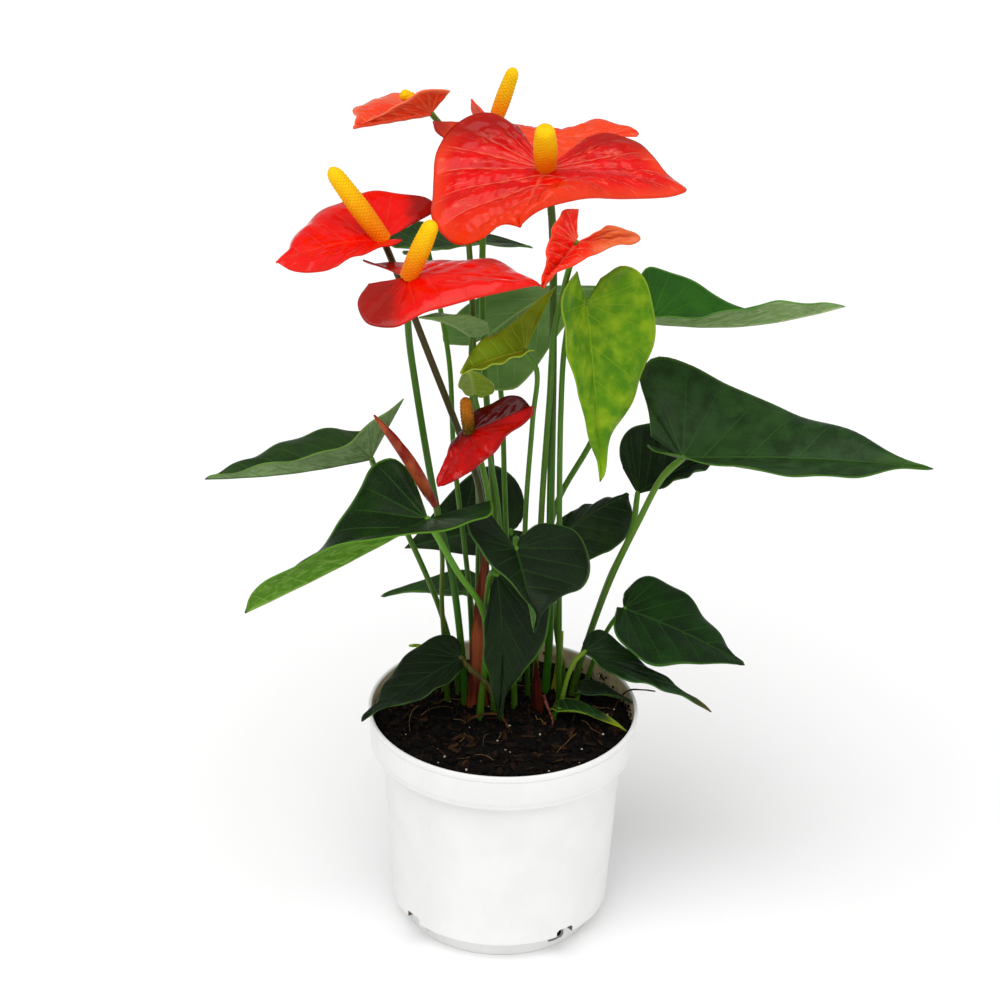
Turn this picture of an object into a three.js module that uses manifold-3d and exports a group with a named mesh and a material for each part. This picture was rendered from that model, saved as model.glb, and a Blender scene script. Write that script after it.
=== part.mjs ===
// A potted anthurium: a white growing pot filled with peat, two crowns of long-stalked heart-shaped
// leaves, seven blooms, each of a stalk, a spathe and a spadix, and one bud.
// Millimetres, +Z up. The origin is the middle of the pot's underside; -Y is the front, +X the right.
import * as THREE from 'three';
import Module from 'manifold-3d';
import { mergeVertices } from 'three/addons/utils/BufferGeometryUtils.js';

const wasm = await Module();
wasm.setup();

// ---------- driving dimensions ----------
const POT = {
  height: 105,
  rimRadius: 60,
  wall: 1.5,
  collarHeight: 18,
  collarLowRadius: 58.6,
  shoulderRadius: 53.5,
  cornerRadius: 48.5,
  footRadius: 42,
  footHeight: 9,
  footFlare: 0.3,
  floor: 2,
  beadDrop: 3,
  beadDepth: 0.4,
  beadHalf: 0.5,
  edgeBreak: 0.6,
  segments: 44,
};
const NOTCH = { width: 9, height: 10, depth: 14, count: 4, firstAngle: -142, rise: 4 };
const SOIL = {
  level: 97,
  crown: [6, 22],
  crownRise: 3,
  crownSpread: 30,
  edgeStart: 40,
  edgeDrop: 2,
  bump: 0.9,
  sink: 16,
  segments: 26,
  rings: 4,
};
const CLEAR = 0.3;
const BURIED = 4; // how deep the sheaths stand in the soil

const LEAF_THICK = 0.7;
const SPATHE_THICK = 0.8;
const STALK_SIDES = 6;
const STALK_STEP = 19;
const TWIG_SIDES = 5;
const TWIG_STEP = 5;
const SPADIX_SIDES = 8;
const SPADIX_RINGS = 8;
const BUD_SIDES = 6;
const BUD_RINGS = 8;

// how many rows a half blade has: round the lobe, lobe to widest place, widest place to tip
const ROWS = { large: [3, 2, 5], middle: [3, 2, 4], small: [2, 2, 3] };
// and how many it has where its margin is drawn through places, evenly along it
const EDGE_ROWS = { large: 13, middle: 11 };
const STRETCHES = 3; // the margin's coordinate runs from 0 to 3
const COLUMNS = { large: 3, middle: 2, small: 2 };
const FULLNESS = 0.2; // how full a plain heart is
const CURL = 12; // how many degrees more the margins are raised
const LOBE_SLOPE = 0.4; // how much of the arch's slope the lobes keep on with

// ---------- colours ----------
const GREEN = {
  dark: 0x20442b,
  middle: 0x2f6a35,
  fresh: 0x6fae2c,
  lime: 0x9cc22b,
  pale: 0x6f9a63,
};
const SPATHE_RED = 0xd3271a;
const SPATHE_ORANGE = 0xe8431f;
const SPATHE_DARK = 0x9c1a16;
const SPADIX_YELLOW = 0xf2b21c;
const SHEATH_BROWN = 0x9a4a2a;
const SOIL_BROWN = 0x2a1a10;
const POT_WHITE = 0xf2f2f0;
const ROUGHNESS = { pot: 0.45, leaf: 0.4, stalk: 0.5, spathe: 0.15, spadix: 0.6, sheath: 0.7, soil: 0.95 };

// ---------- the leaves ----------
// root: where the stalk leaves the soil, x and y. via: places the stalk passes through.
// at: where blade and stalk meet. tip: the blade's tip.
// arch, sway: how far the midrib bows up and to the left, as a share of its length.
// A blade that is a plain heart has half: its widths left and right of the midrib, looking from the stalk
// to the tip with the upper face up, lobe: how far its lobes reach behind `at`, and left, right: how many
// degrees that half is raised above level, at the stalk and at the tip. fullness: how far forward it is
// wide.
// A blade that bends in its own way has edge: the places its margin passes through from the lobe's end to
// the tip, left and right, and dome: how far each half swells above straight lines from midrib to margin.
const LEAVES = [
  { name: 'leaf_large_right', size: 'large', color: 'dark', stalk: 1.5, root: [31, 20],
    via: [[45, 25, 152], [58, 24, 187], [68, 22, 211]], at: [76, 20, 221], tip: [183, 0, 229],
    arch: 0.02, sway: 0, dome: [2, 0],
    edge: [
      [[62, 28, 227], [61, 38, 234], [57, 50, 246], [63, 57, 251], [80, 58, 247], [97, 54, 240],
        [111, 47, 236], [124, 38, 235], [145, 24, 235], [174, 4, 230]],
      [[60, 4, 236], [63, -4, 236], [74, -10, 237], [93, -15, 236], [125, -17, 233], [143, -14, 231],
        [165, -5, 230]],
    ] },
  { name: 'leaf_lime_hanging', size: 'large', color: 'lime', stalk: 1.3, root: [25, 14],
    via: [[22, 2, 250], [23, -1, 287], [26, -6, 305]], at: [31, -10, 309], tip: [39, -36, 238],
    arch: 0.03, sway: 0, dome: [2, 2],
    edge: [
      [[37, -2, 317], [46, 2, 321], [54, 2, 317], [60, -2, 303], [60, -5, 290], [54, -14, 273],
        [42, -28, 251]],
      [[26, -21, 329], [23, -25, 326], [21, -28, 314], [22, -29, 303], [27, -31, 282], [36, -34, 250]],
    ] },
  { name: 'leaf_young_olive', size: 'middle', color: 'fresh', stalk: 1.2, root: [11, 17],
    via: [[8, 14, 185], [10, 0, 248], [11, -9, 277]], at: [6, -14, 288], tip: [-21, -32, 286],
    arch: 0.03, sway: 0, dome: [0, 1],
    edge: [
      [[10, -19, 291], [2, -24, 290], [-7, -28, 288], [-15, -31, 287]],
      [[18, -1, 312], [12, -2, 307], [6, -5, 302], [-3, -12, 297], [-13, -21, 295], [-18, -28, 291]],
    ] },
  { name: 'leaf_back_pale', size: 'large', color: 'pale', stalk: 1.3, root: [3, 36],
    via: [[-1, 52, 180], [-5, 58, 240]], at: [-11, 60, 258], tip: [44, 98, 265],
    half: [24, 27], lobe: [14, 12], left: [-8, -8], right: [-55, -45], arch: 0.12, sway: 0 },
  { name: 'leaf_behind_blooms', size: 'middle', color: 'middle', stalk: 1.2, root: [-14, 28],
    via: [[-16, 28, 146], [-24, 41, 209], [-27, 47, 254]], at: [-37, 62, 299], tip: [9, 84, 291],
    half: [22, 20], lobe: [14, 16], left: [-4, -6], right: [14, 10], arch: 0.05, sway: 0 },
  { name: 'leaf_back_right', size: 'large', color: 'dark', stalk: 1.4, root: [27, 28],
    via: [[20, 33, 182], [37, 40, 219]], at: [60, 45, 274], tip: [146, 60, 277],
    arch: -0.06, sway: 0, dome: [1, 0],
    edge: [
      [[54, 59, 287], [60, 68, 290], [76, 70, 284], [88, 69, 278], [102, 66, 271], [119, 63, 270]],
      [[54, 38, 284], [62, 36, 281], [82, 38, 281], [101, 42, 283], [111, 46, 284], [126, 52, 282]],
    ] },
  { name: 'leaf_left', size: 'large', color: 'middle', stalk: 1.3, root: [-20, 20],
    via: [[-28, 19, 140], [-46, 18, 187], [-57, 13, 214]], at: [-59, 0, 228], tip: [-130, -10, 222],
    arch: -0.03, sway: 0, dome: [1, 2],
    edge: [
      [[-45, -8, 261], [-55, -8, 253], [-62, -8, 246], [-69, -9, 240], [-79, -9, 235],
        [-92, -10, 232], [-112, -10, 227]],
      [[-56, 12, 232], [-62, 19, 231], [-76, 21, 231], [-86, 19, 230], [-105, 9, 226], [-124, -6, 223]],
    ] },
  { name: 'leaf_large_left', size: 'large', color: 'dark', stalk: 1.5, root: [-10, 2],
    via: [[-9, 0, 151], [-21, -7, 177], [-31, -17, 202]], at: [-34, -22, 211], tip: [-110, -62, 186],
    arch: -0.01, sway: 0, dome: [1, 2],
    edge: [
      [[-7, -20, 220], [-6, -26, 218], [-8, -31, 217], [-17, -38, 218], [-29, -45, 218], [-40, -50, 218],
        [-60, -54, 218], [-85, -57, 209], [-107, -61, 194]],
      [[-39, -12, 222], [-43, -5, 226], [-50, -1, 229], [-58, 1, 224], [-64, -1, 214], [-76, -20, 200],
        [-92, -46, 196]],
    ] },
  { name: 'leaf_front', size: 'large', color: 'dark', stalk: 1.3, root: [5, 9],
    via: [[4, 8, 150], [4, 5, 182], [4, -5, 193]], at: [4, -12, 192], tip: [13, -38, 165],
    arch: 0.04, sway: 0, dome: [2, 1],
    edge: [
      [[6, -9, 197], [14, -4, 200], [22, -1, 198], [30, 0, 194], [35, -3, 188], [36, -9, 180],
        [33, -16, 175], [23, -24, 175], [17, -31, 172]],
      [[-7, -14, 209], [-12, -15, 213], [-17, -19, 211], [-16, -23, 207], [-12, -28, 200],
        [0, -34, 189], [11, -37, 177]],
    ] },
  { name: 'leaf_front_hanging', size: 'large', color: 'dark', stalk: 1.4, root: [-4, 6],
    via: [[-8, 4, 142], [-8, 3, 160], [-6, 0, 173]], at: [-4, -3, 174], tip: [-2, -22, 110],
    arch: 0.03, sway: 0.03, dome: [1, 1],
    edge: [
      [[9, -1, 171], [18, 0, 163], [20, -2, 155], [15, -12, 139], [8, -16, 132], [2, -19, 123]],
      [[-7, -5, 168], [-9, -11, 146], [-8, -15, 136], [-5, -19, 125]],
    ] },
  { name: 'leaf_low_left', size: 'middle', color: 'dark', stalk: 1.2, root: [-1, -1],
    via: [[-8, -2, 118], [-14, -2, 124]], at: [-19, -1, 130], tip: [-62, -32, 115],
    arch: 0.03, sway: 0, dome: [1, 1],
    edge: [
      [[-18, -6, 128], [-22, -14, 127], [-29, -20, 125], [-41, -26, 121], [-51, -28, 120]],
      [[-19, 4, 134], [-23, 8, 136], [-29, 9, 135], [-39, 4, 132], [-49, -8, 126], [-55, -20, 120]],
    ] },
  { name: 'leaf_right_heart', size: 'large', color: 'dark', stalk: 1.1, root: [37, 25],
    via: [[46, 23, 132]], at: [53, 18, 146], tip: [107, 5, 126],
    arch: 0.03, sway: 0, dome: [1, 1],
    edge: [
      [[52, 22, 148], [54, 30, 149], [60, 36, 151], [67, 37, 151], [81, 31, 146], [90, 24, 138],
        [103, 9, 128]],
      [[50, 12, 150], [48, 5, 150], [48, -1, 148], [51, -6, 144], [58, -11, 138], [66, -12, 135],
        [86, -5, 132], [97, 0, 129]],
    ] },
  { name: 'leaf_right_low', size: 'middle', color: 'dark', stalk: 1.1, root: [26, 8],
    via: [[29, 9, 117], [32, 10, 124]], at: [36, 10, 128], tip: [92, -14, 113],
    arch: 0.03, sway: 0, dome: [1, 1],
    edge: [
      [[35, 14, 130], [37, 18, 132], [41, 20, 133], [46, 18, 133], [60, 7, 126], [68, 0, 124],
        [82, -9, 118]],
      [[37, 4, 129], [43, 0, 127], [48, -5, 125], [65, -10, 123], [82, -13, 118]],
    ] },
  { name: 'leaf_right_behind', size: 'middle', color: 'dark', stalk: 1.3, root: [33, 32],
    via: [[46, 36, 150], [56, 44, 172]], at: [58, 48, 188], tip: [97, 78, 195],
    arch: 0.03, sway: 0, dome: [1, 1],
    edge: [
      [[53, 53, 195], [50, 57, 201], [50, 61, 206], [53, 66, 210], [60, 71, 211], [72, 76, 209]],
      [[68, 43, 194], [73, 44, 196], [81, 50, 197], [90, 60, 196]],
    ] },
  { name: 'leaf_middle_behind', size: 'middle', color: 'dark', stalk: 1.2, root: [20, 35],
    via: [[19, 42, 140]], at: [22, 46, 165], tip: [55, 70, 176],
    arch: 0.05, sway: 0, dome: [1, 1],
    edge: [
      [[22, 52, 170], [28, 60, 171], [34, 66, 171], [45, 70, 173]],
      [[24, 36, 161], [36, 38, 159], [45, 44, 160], [52, 52, 161], [56, 58, 165], [56, 64, 170]],
    ] },
  { name: 'leaf_young_light', size: 'small', color: 'fresh', stalk: 0.9, root: [1, 23],
    via: [[-4, 14, 200], [-11, 8, 238]], at: [-15, 4, 258], tip: [-18, -12, 278],
    half: [9, 8], lobe: [3, 3], left: [10, 10], right: [10, 10], arch: 0.06, sway: 0 },
  { name: 'leaf_edge_on', size: 'small', color: 'pale', stalk: 1.0, root: [-13, 22],
    via: [[-13, 20, 200], [-16, 16, 240], [-17, 15, 268]], at: [-17, 15, 280], tip: [-39, -8, 300],
    half: [10, 10], lobe: [5, 5], left: [45, 45], right: [20, 20], arch: 0.05, sway: 0 },
  { name: 'leaf_dark_behind', size: 'middle', color: 'dark', stalk: 1.2, root: [7, 30],
    via: [[5, 56, 132]], at: [2, 66, 158], tip: [-46, 60, 151],
    half: [13, 30], lobe: [8, 8], left: [-55, -50], right: [55, 50], arch: 0.04, sway: 0, fullness: 0.6 },
  { name: 'leaf_low_left_behind', size: 'middle', color: 'middle', stalk: 1.0, root: [-14, 35],
    via: [[-14, 46, 122]], at: [-16, 52, 133], tip: [-57, 60, 126],
    half: [10, 12], lobe: [5, 5], left: [10, 10], right: [15, 15], arch: 0.05, sway: 0 },
  { name: 'leaf_soil_grey', size: 'small', color: 'middle', stalk: 0.9, root: [33, 13],
    via: [], at: [34, 13, 105], tip: [58, 6, 105],
    half: [7, 6], lobe: [2, 2], left: [20, 20], right: [15, 15], arch: 0.06, sway: 0 },
  { name: 'leaf_soil_bright', size: 'small', color: 'fresh', stalk: 0.9, root: [23, 1],
    via: [], at: [25, 0, 104], tip: [55, -12, 101],
    half: [6, 7], lobe: [3, 3], left: [15, 15], right: [15, 15], arch: 0.08, sway: 0 },
  { name: 'leaf_stub_olive', size: 'small', color: 'fresh', stalk: 0.8, root: [-27, 24],
    via: [], at: [-30, 27, 116], tip: [-43, 30, 118],
    half: [3, 3], lobe: [1, 1], left: [30, 30], right: [20, 20], arch: 0.04, sway: 0 },
];

// ---------- the blooms ----------
// as the leaves, with the place the spadix's top leans to, its widest radius and, where it isn't the
// place where spathe and stalk meet, its base
const BLOOMS = [
  { name: 'bloom_main', color: SPATHE_ORANGE, size: 'large', stalk: 1.8, root: [19, 21],
    via: [[20, 17, 130], [19, 12, 191], [18, 8, 278], [16, 8, 340]], at: [13, 10, 361], tip: [2, -31, 353],
    arch: 0.05, sway: 0, dome: [6, 3], spadix: { top: [12, -2, 385], radius: 5 },
    edge: [
      [[30, 28, 367], [41, 32, 368], [52, 28, 366], [62, 14, 359], [72, 3, 356], [64, -1, 354],
        [46, -8, 356], [28, -18, 360], [14, -27, 360], [7, -29, 357]],
      [[1, 32, 371], [-12, 36, 374], [-25, 33, 371], [-32, 21, 364], [-34, 0, 352],
        [-33, -10, 345], [-24, -21, 340], [-13, -25, 344], [-4, -27, 352]],
    ] },
  { name: 'bloom_left', color: SPATHE_RED, size: 'large', stalk: 1.6, root: [-7, 24],
    via: [[-12, 14, 205], [-20, 5, 235], [-34, -3, 278], [-49, -8, 322]], at: [-54, -10, 336],
    tip: [-97, -40, 339], arch: 0.05, sway: 0, dome: [2, 3],
    spadix: { top: [-76, -12, 369], radius: 4.2 },
    edge: [
      [[-46, -16, 339], [-53, -21, 338], [-65, -29, 337], [-78, -38, 334], [-90, -42, 336]],
      [[-31, 11, 341], [-38, 16, 344], [-50, 18, 345], [-62, 17, 345],
        [-77, 6, 343], [-88, -12, 341], [-93, -32, 339]],
    ] },
  { name: 'bloom_front', color: SPATHE_RED, size: 'large', stalk: 1.6, root: [-17, 14],
    via: [[-23, 8, 163], [-31, 4, 204], [-40, -9, 268], [-43, -22, 301]], at: [-43, -31, 329],
    tip: [12, -42, 332], arch: 0.04, sway: 0, dome: [1, 3], spadix: { top: [-33, -34, 356], radius: 4.2 },
    edge: [
      [[-62, -16, 330], [-58, -13, 326], [-46, -10, 326], [-30, -11, 327],
        [-12, -14, 330], [-2, -20, 330], [6, -32, 330]],
      [[-59, -40, 330], [-63, -47, 325], [-59, -55, 319], [-48, -57, 319], [-35, -54, 324],
        [-18, -50, 328], [-6, -49, 331], [5, -45, 332]],
    ] },
  { name: 'bloom_upper_left', color: SPATHE_ORANGE, size: 'middle', stalk: 1.4, root: [-8, 31],
    via: [[-13, 33, 200], [-16, 23, 268], [-17, 27, 293], [-22, 58, 330], [-27, 66, 348]],
    at: [-36, 55, 366], tip: [-68, 27, 371], arch: 0, sway: 0, dome: [1, 1],
    spadix: { base: [-39, 55, 369], top: [-49, 53, 376], radius: 2.8 },
    edge: [
      [[-28, 51, 378], [-38, 47, 380], [-48, 42, 376], [-60, 33, 372]],
      [[-43, 73, 366], [-52, 73, 367], [-62, 59, 369], [-69, 44, 371], [-67, 34, 372]],
    ] },
  { name: 'bloom_top', color: SPATHE_ORANGE, size: 'middle', stalk: 1.5, root: [0, 31],
    via: [[-7, 39, 200], [-12, 34, 270], [-13, 40, 317], [-12, 62, 340]], at: [-9, 75, 354],
    tip: [54, 86, 346], arch: -0.06, sway: 0, dome: [0, 0], spadix: { top: [-1, 71, 381], radius: 3.4 },
    edge: [
      [[-20, 90, 358], [-18, 93, 351], [-4, 100, 340], [12, 101, 338], [27, 97, 342],
        [37, 94, 348], [47, 89, 348]],
      [[-35, 51, 364], [-34, 50, 359], [-22, 50, 352], [-8, 53, 347],
        [10, 60, 341], [28, 70, 342], [44, 81, 345]],
    ] },
  { name: 'bloom_right_folded', color: SPATHE_ORANGE, size: 'middle', stalk: 1.4, root: [14, 10],
    via: [[15, 10, 200], [17, 2, 258], [18, -9, 294], [22, -18, 322]], at: [26, -24, 343],
    tip: [12, -46, 333], arch: 0, sway: 0, dome: [2, 1],
    spadix: { base: [25, -21, 344], top: [22, -14, 347], radius: 2.2 },
    edge: [
      [[38, -28, 352], [45, -28, 352], [52, -31, 349], [47, -33, 347], [38, -36, 346],
        [31, -40, 344], [26, -43, 342], [18, -45, 339]],
      [[26, -17, 355], [21, -20, 356], [17, -27, 353], [14, -36, 347], [13, -43, 340]],
    ] },
  { name: 'bloom_low_dark', color: SPATHE_DARK, size: 'middle', stalk: 1.4, root: [-2, 13],
    via: [[-7, 8, 195], [-12, -3, 230]], at: [-17, -12, 248], tip: [-30, -24, 228], arch: 0, sway: 0,
    dome: [1, 1], spadix: { top: [-19, -13, 265], radius: 2.8 },
    edge: [
      [[10, -17, 264], [10, -19, 260], [2, -22, 255], [-7, -26, 245],
        [-16, -27, 237], [-26, -26, 230]],
      [[10, -5, 256], [4, -1, 260], [-8, -2, 257], [-17, -4, 250], [-22, -7, 243], [-28, -16, 234]],
    ] },
];

const BUD = {
  name: 'bloom_bud',
  stalk: 1.1,
  root: [-25, 15],
  via: [[-28, 12, 150], [-28, 0, 182], [-30, -10, 203]],
  at: [-31, -15, 214],
  bend: [-43, -21, 240],
  tip: [-57, -20, 259],
  radius: 2.7,
};

// a sheath wraps round a line from foot to top, at this radius and over this angle each way of its turn
const SHEATHS = [
  { name: 'sheath_brown', foot: [-10, 15], top: [-7, 14, 181], radius: 7.5, turn: 250, reach: 42 },
  { name: 'sheath_dark_red', foot: [17, 11], top: [16, 9, 126], radius: 5, turn: 250, reach: 36 },
  { name: 'sheath_yellow', foot: [23, 25], top: [26, 25, 131], radius: 2.5, turn: 270, reach: 40 },
];

const TWIGS = [
  { name: 'twig_upright', radius: 0.6, points: [[-42, 24, 93], [-42, 24, 108]] },
  { name: 'twig_over_rim', radius: 0.5, points: [[48, 14, 93], [56, 14, 106], [62, 13, 107], [68, 12, 107]] },
  { name: 'root_pink', radius: 0.7, points: [[18, 5, 108], [20, 2, 104], [22, -2, 99], [22, -3, 93]] },
  { name: 'root_arched', radius: 0.7, points: [[-16, -3, 98], [-9, -4, 103], [-1, -5, 103], [4, -10, 97]] },
];

// ---------- solids ----------
function toSolid(geometry) {
  const bare = geometry.clone();
  for (const key of Object.keys(bare.attributes)) {
    if (key !== 'position') bare.deleteAttribute(key);
  }
  const merged = mergeVertices(bare, 1e-3);
  const corners = merged.index.array;
  const kept = [];
  for (let i = 0; i < corners.length; i += 3) {
    const [a, b, c] = [corners[i], corners[i + 1], corners[i + 2]];
    if (a !== b && b !== c && a !== c) kept.push(a, b, c);
  }
  return new wasm.Manifold(new wasm.Mesh({
    numProp: 3,
    vertProperties: new Float32Array(merged.attributes.position.array),
    triVerts: new Uint32Array(kept),
  }));
}

function largestPiece(solid) {
  const pieces = solid.decompose();
  return pieces.reduce((best, piece) => (piece.volume() > best.volume() ? piece : best));
}

function toGeometry(solid) {
  const mesh = largestPiece(solid.simplify(0.02)).getMesh();
  const geometry = new THREE.BufferGeometry();
  geometry.setAttribute('position', new THREE.BufferAttribute(new Float32Array(mesh.vertProperties), 3));
  geometry.setIndex(new THREE.BufferAttribute(new Uint32Array(mesh.triVerts), 1));
  geometry.computeVertexNormals();
  return geometry;
}

function polygon(radius, sides) {
  const points = [];
  for (let i = 0; i < sides; i += 1) {
    const angle = (i * 2 * Math.PI) / sides;
    points.push(new THREE.Vector2(radius * Math.cos(angle), radius * Math.sin(angle)));
  }
  return new THREE.Shape(points);
}

function tube(points, radius, sides = STALK_SIDES, step = STALK_STEP) {
  const path = new THREE.CatmullRomCurve3(points.map((p) => new THREE.Vector3(...p)), false);
  const steps = Math.max(2, Math.round(path.getLength() / step));
  return toSolid(new THREE.ExtrudeGeometry(polygon(radius, sides), {
    steps,
    extrudePath: path,
    bevelEnabled: false,
  }));
}

// ---------- the blade: a heart-shaped leaf or spathe ----------
function bezier(p0, p1, p2, p3, t) {
  const q = 1 - t;
  const at = (k) => q ** 3 * p0[k] + 3 * q * q * t * p1[k] + 3 * q * t * t * p2[k] + t ** 3 * p3[k];
  return [at(0), at(1)];
}

// the margin of one half: s runs 0..1 round the lobe, 1..2 to the widest place, 2..3 to the tip.
// a greater fullness carries the width further forward and makes the tip more drawn out
function margin(length, width, lobe, fullness, s) {
  const rear = [-lobe, 0.5 * width];
  const wide = [(0.02 + 0.06 * fullness) * length, width];
  if (s <= 1) return bezier([0, 0], [-0.5 * lobe, 0.03 * width], [-lobe, 0.16 * width], rear, s);
  if (s <= 2) {
    return bezier(rear, [-lobe, 0.74 * width], [wide[0] - 0.36 * (lobe + wide[0]), width], wide, s - 1);
  }
  const front = [(0.22 + 0.26 * fullness) * length, width];
  const last = [(0.6 + 0.16 * fullness) * length, (0.35 - 0.1 * fullness) * width];
  return bezier(wide, front, last, [length, 0], s - 2);
}

// where on the midrib the vein of row s begins
function veinStart(length, s) {
  return length * Math.max(0, (s - 1.4) / 1.6) ** 1.1;
}

const radians = (degrees) => (degrees * Math.PI) / 180;

class Blade {
  constructor(spec) {
    this.spec = spec;
    this.at = new THREE.Vector3(...spec.at);
    const tip = new THREE.Vector3(...spec.tip);
    this.length = this.at.distanceTo(tip);
    this.forward = tip.sub(this.at).normalize();
    this.level = new THREE.Vector3(-this.forward.y, this.forward.x, 0).normalize();
    this.up = new THREE.Vector3().crossVectors(this.forward, this.level);
    this.edges = spec.edge?.map((places) => new THREE.CatmullRomCurve3(
      [...places, spec.tip].map((p) => new THREE.Vector3(...p)),
    ));
  }

  // the place on the midrib that far from the stalk
  rib(x) {
    const { spec, length } = this;
    const u = x / length;
    const bump = u > 0 ? Math.sin(Math.PI * u) : LOBE_SLOPE * Math.PI * u;
    const place = this.at.clone();
    place.addScaledVector(this.forward, x);
    place.addScaledVector(this.up, spec.arch * length * bump);
    return place.addScaledVector(this.level, spec.sway * length * bump);
  }

  // the place in space of the flat blade's point: x along the midrib, y from it, side 1 left, -1 right
  point(x, y, side) {
    const { spec, length } = this;
    const place = this.rib(x);
    const width = side > 0 ? spec.half[0] : spec.half[1];
    const raised = side > 0 ? spec.left : spec.right;
    const along = Math.min(1, Math.max(0, x / length));
    const angle = radians(raised[0] + (raised[1] - raised[0]) * along + (CURL * y) / width);
    place.addScaledVector(this.level, side * y * Math.cos(angle));
    place.addScaledVector(this.up, y * Math.sin(angle));
    return place;
  }

  // a place of one half: s runs round its margin, v from the midrib to the margin
  place(s, v, side) {
    const { spec, length } = this;
    const half = side > 0 ? 0 : 1;
    const start = veinStart(length, s);
    if (!this.edges) {
      const [x, y] = margin(length, spec.half[half], spec.lobe[half], spec.fullness ?? FULLNESS, s);
      return this.point(start + (x - start) * v, y * v, side);
    }
    const share = s / STRETCHES;
    const swell = spec.dome[half] * Math.sin(Math.PI * v ** 2) * Math.sin(Math.PI * share ** 2);
    const edge = this.edges[half].getPointAt(share);
    return this.rib(start).lerp(edge, v).addScaledVector(this.up, swell);
  }
}

function rowsOf(counts) {
  const rows = [0];
  counts.forEach((count, stage) => {
    for (let i = 1; i <= count; i += 1) rows.push(stage + i / count);
  });
  return rows;
}

function evenRows(count) {
  return Array.from({ length: count + 1 }, (_, i) => (STRETCHES * i) / count);
}

function bladeSolid(spec, thickness) {
  const blade = new Blade(spec);
  const rows = blade.edges ? evenRows(EDGE_ROWS[spec.size]) : rowsOf(ROWS[spec.size]);
  const columns = COLUMNS[spec.size];
  const places = [];
  const indexOf = new Map();
  const vertex = (s, v, side) => {
    const place = blade.place(s, v, side);
    const key = place.toArray().map((v) => Math.round(v * 100)).join();
    if (!indexOf.has(key)) {
      indexOf.set(key, places.length);
      places.push(place);
    }
    return indexOf.get(key);
  };
  const triangles = [];
  const add = (a, b, c, side) => {
    if (a === b || b === c || a === c) return;
    triangles.push(side > 0 ? [a, c, b] : [a, b, c]);
  };
  for (const side of [1, -1]) {
    const grid = rows.map((s) => {
      const row = [];
      for (let j = 0; j <= columns; j += 1) row.push(vertex(s, j / columns, side));
      return row;
    });
    for (let i = 1; i < rows.length; i += 1) {
      for (let j = 1; j <= columns; j += 1) {
        add(grid[i - 1][j - 1], grid[i - 1][j], grid[i][j], side);
        add(grid[i - 1][j - 1], grid[i][j], grid[i][j - 1], side);
      }
    }
  }
  return thicken(places, triangles, thickness);
}

// a sheet made solid: the same triangles above and below, and a wall along the open edge
function thicken(places, triangles, thickness) {
  const normals = places.map(() => new THREE.Vector3());
  const edges = new Map();
  for (const [a, b, c] of triangles) {
    const normal = new THREE.Vector3().crossVectors(
      places[b].clone().sub(places[a]),
      places[c].clone().sub(places[a]),
    ).normalize();
    for (const k of [a, b, c]) normals[k].add(normal);
    for (const [p, q] of [[a, b], [b, c], [c, a]]) edges.set(`${p},${q}`, [p, q]);
  }
  const count = places.length;
  const position = [];
  for (const shift of [thickness / 2, -thickness / 2]) {
    places.forEach((place, k) => {
      position.push(...place.clone().addScaledVector(normals[k].normalize(), shift).toArray());
    });
  }
  const index = [];
  for (const [a, b, c] of triangles) {
    index.push(a, b, c);
    index.push(count + a, count + c, count + b);
  }
  for (const [p, q] of edges.values()) {
    if (edges.has(`${q},${p}`)) continue;
    index.push(p, count + p, count + q);
    index.push(p, count + q, q);
  }
  const geometry = new THREE.BufferGeometry();
  geometry.setAttribute('position', new THREE.Float32BufferAttribute(position, 3));
  geometry.setIndex(index);
  return toSolid(geometry);
}

// ---------- stalks, leaves and blooms ----------
const holeBottom = SOIL.level - SOIL.sink;

function stalkPath(spec) {
  const [x, y] = spec.root;
  const straight = [[x, y, holeBottom + CLEAR], [x, y, SOIL.level - BURIED], [x, y, SOIL.level + BURIED]];
  return [...straight, ...spec.via, spec.at];
}

function leafSolid(spec) {
  return bladeSolid(spec, LEAF_THICK).add(tube(stalkPath(spec), spec.stalk));
}

// a spadix: a club, widest at two fifths of its height, with a rounded end
function spadixSolid(spec, grow = 0) {
  const base = new THREE.Vector3(...(spec.spadix.base ?? spec.at));
  const top = new THREE.Vector3(...spec.spadix.top);
  const length = base.distanceTo(top);
  const radius = spec.spadix.radius + grow;
  const profile = [new THREE.Vector2(0, -grow)];
  for (let i = 0; i < SPADIX_RINGS; i += 1) {
    const t = i / SPADIX_RINGS;
    const round = Math.sqrt(1 - Math.max(0, (t - 0.8) / 0.2) ** 2);
    const swell = 0.86 + 0.14 * Math.sin(1.2 * Math.PI * t);
    const y = i > 0 ? t * length : -grow;
    profile.push(new THREE.Vector2(radius * swell * round, y));
  }
  profile.push(new THREE.Vector2(0, length + grow));
  const geometry = new THREE.LatheGeometry(profile, SPADIX_SIDES);
  geometry.applyQuaternion(new THREE.Quaternion().setFromUnitVectors(
    new THREE.Vector3(0, 1, 0),
    top.sub(base).normalize(),
  ));
  geometry.translate(base.x, base.y, base.z);
  return toSolid(geometry);
}

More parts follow.
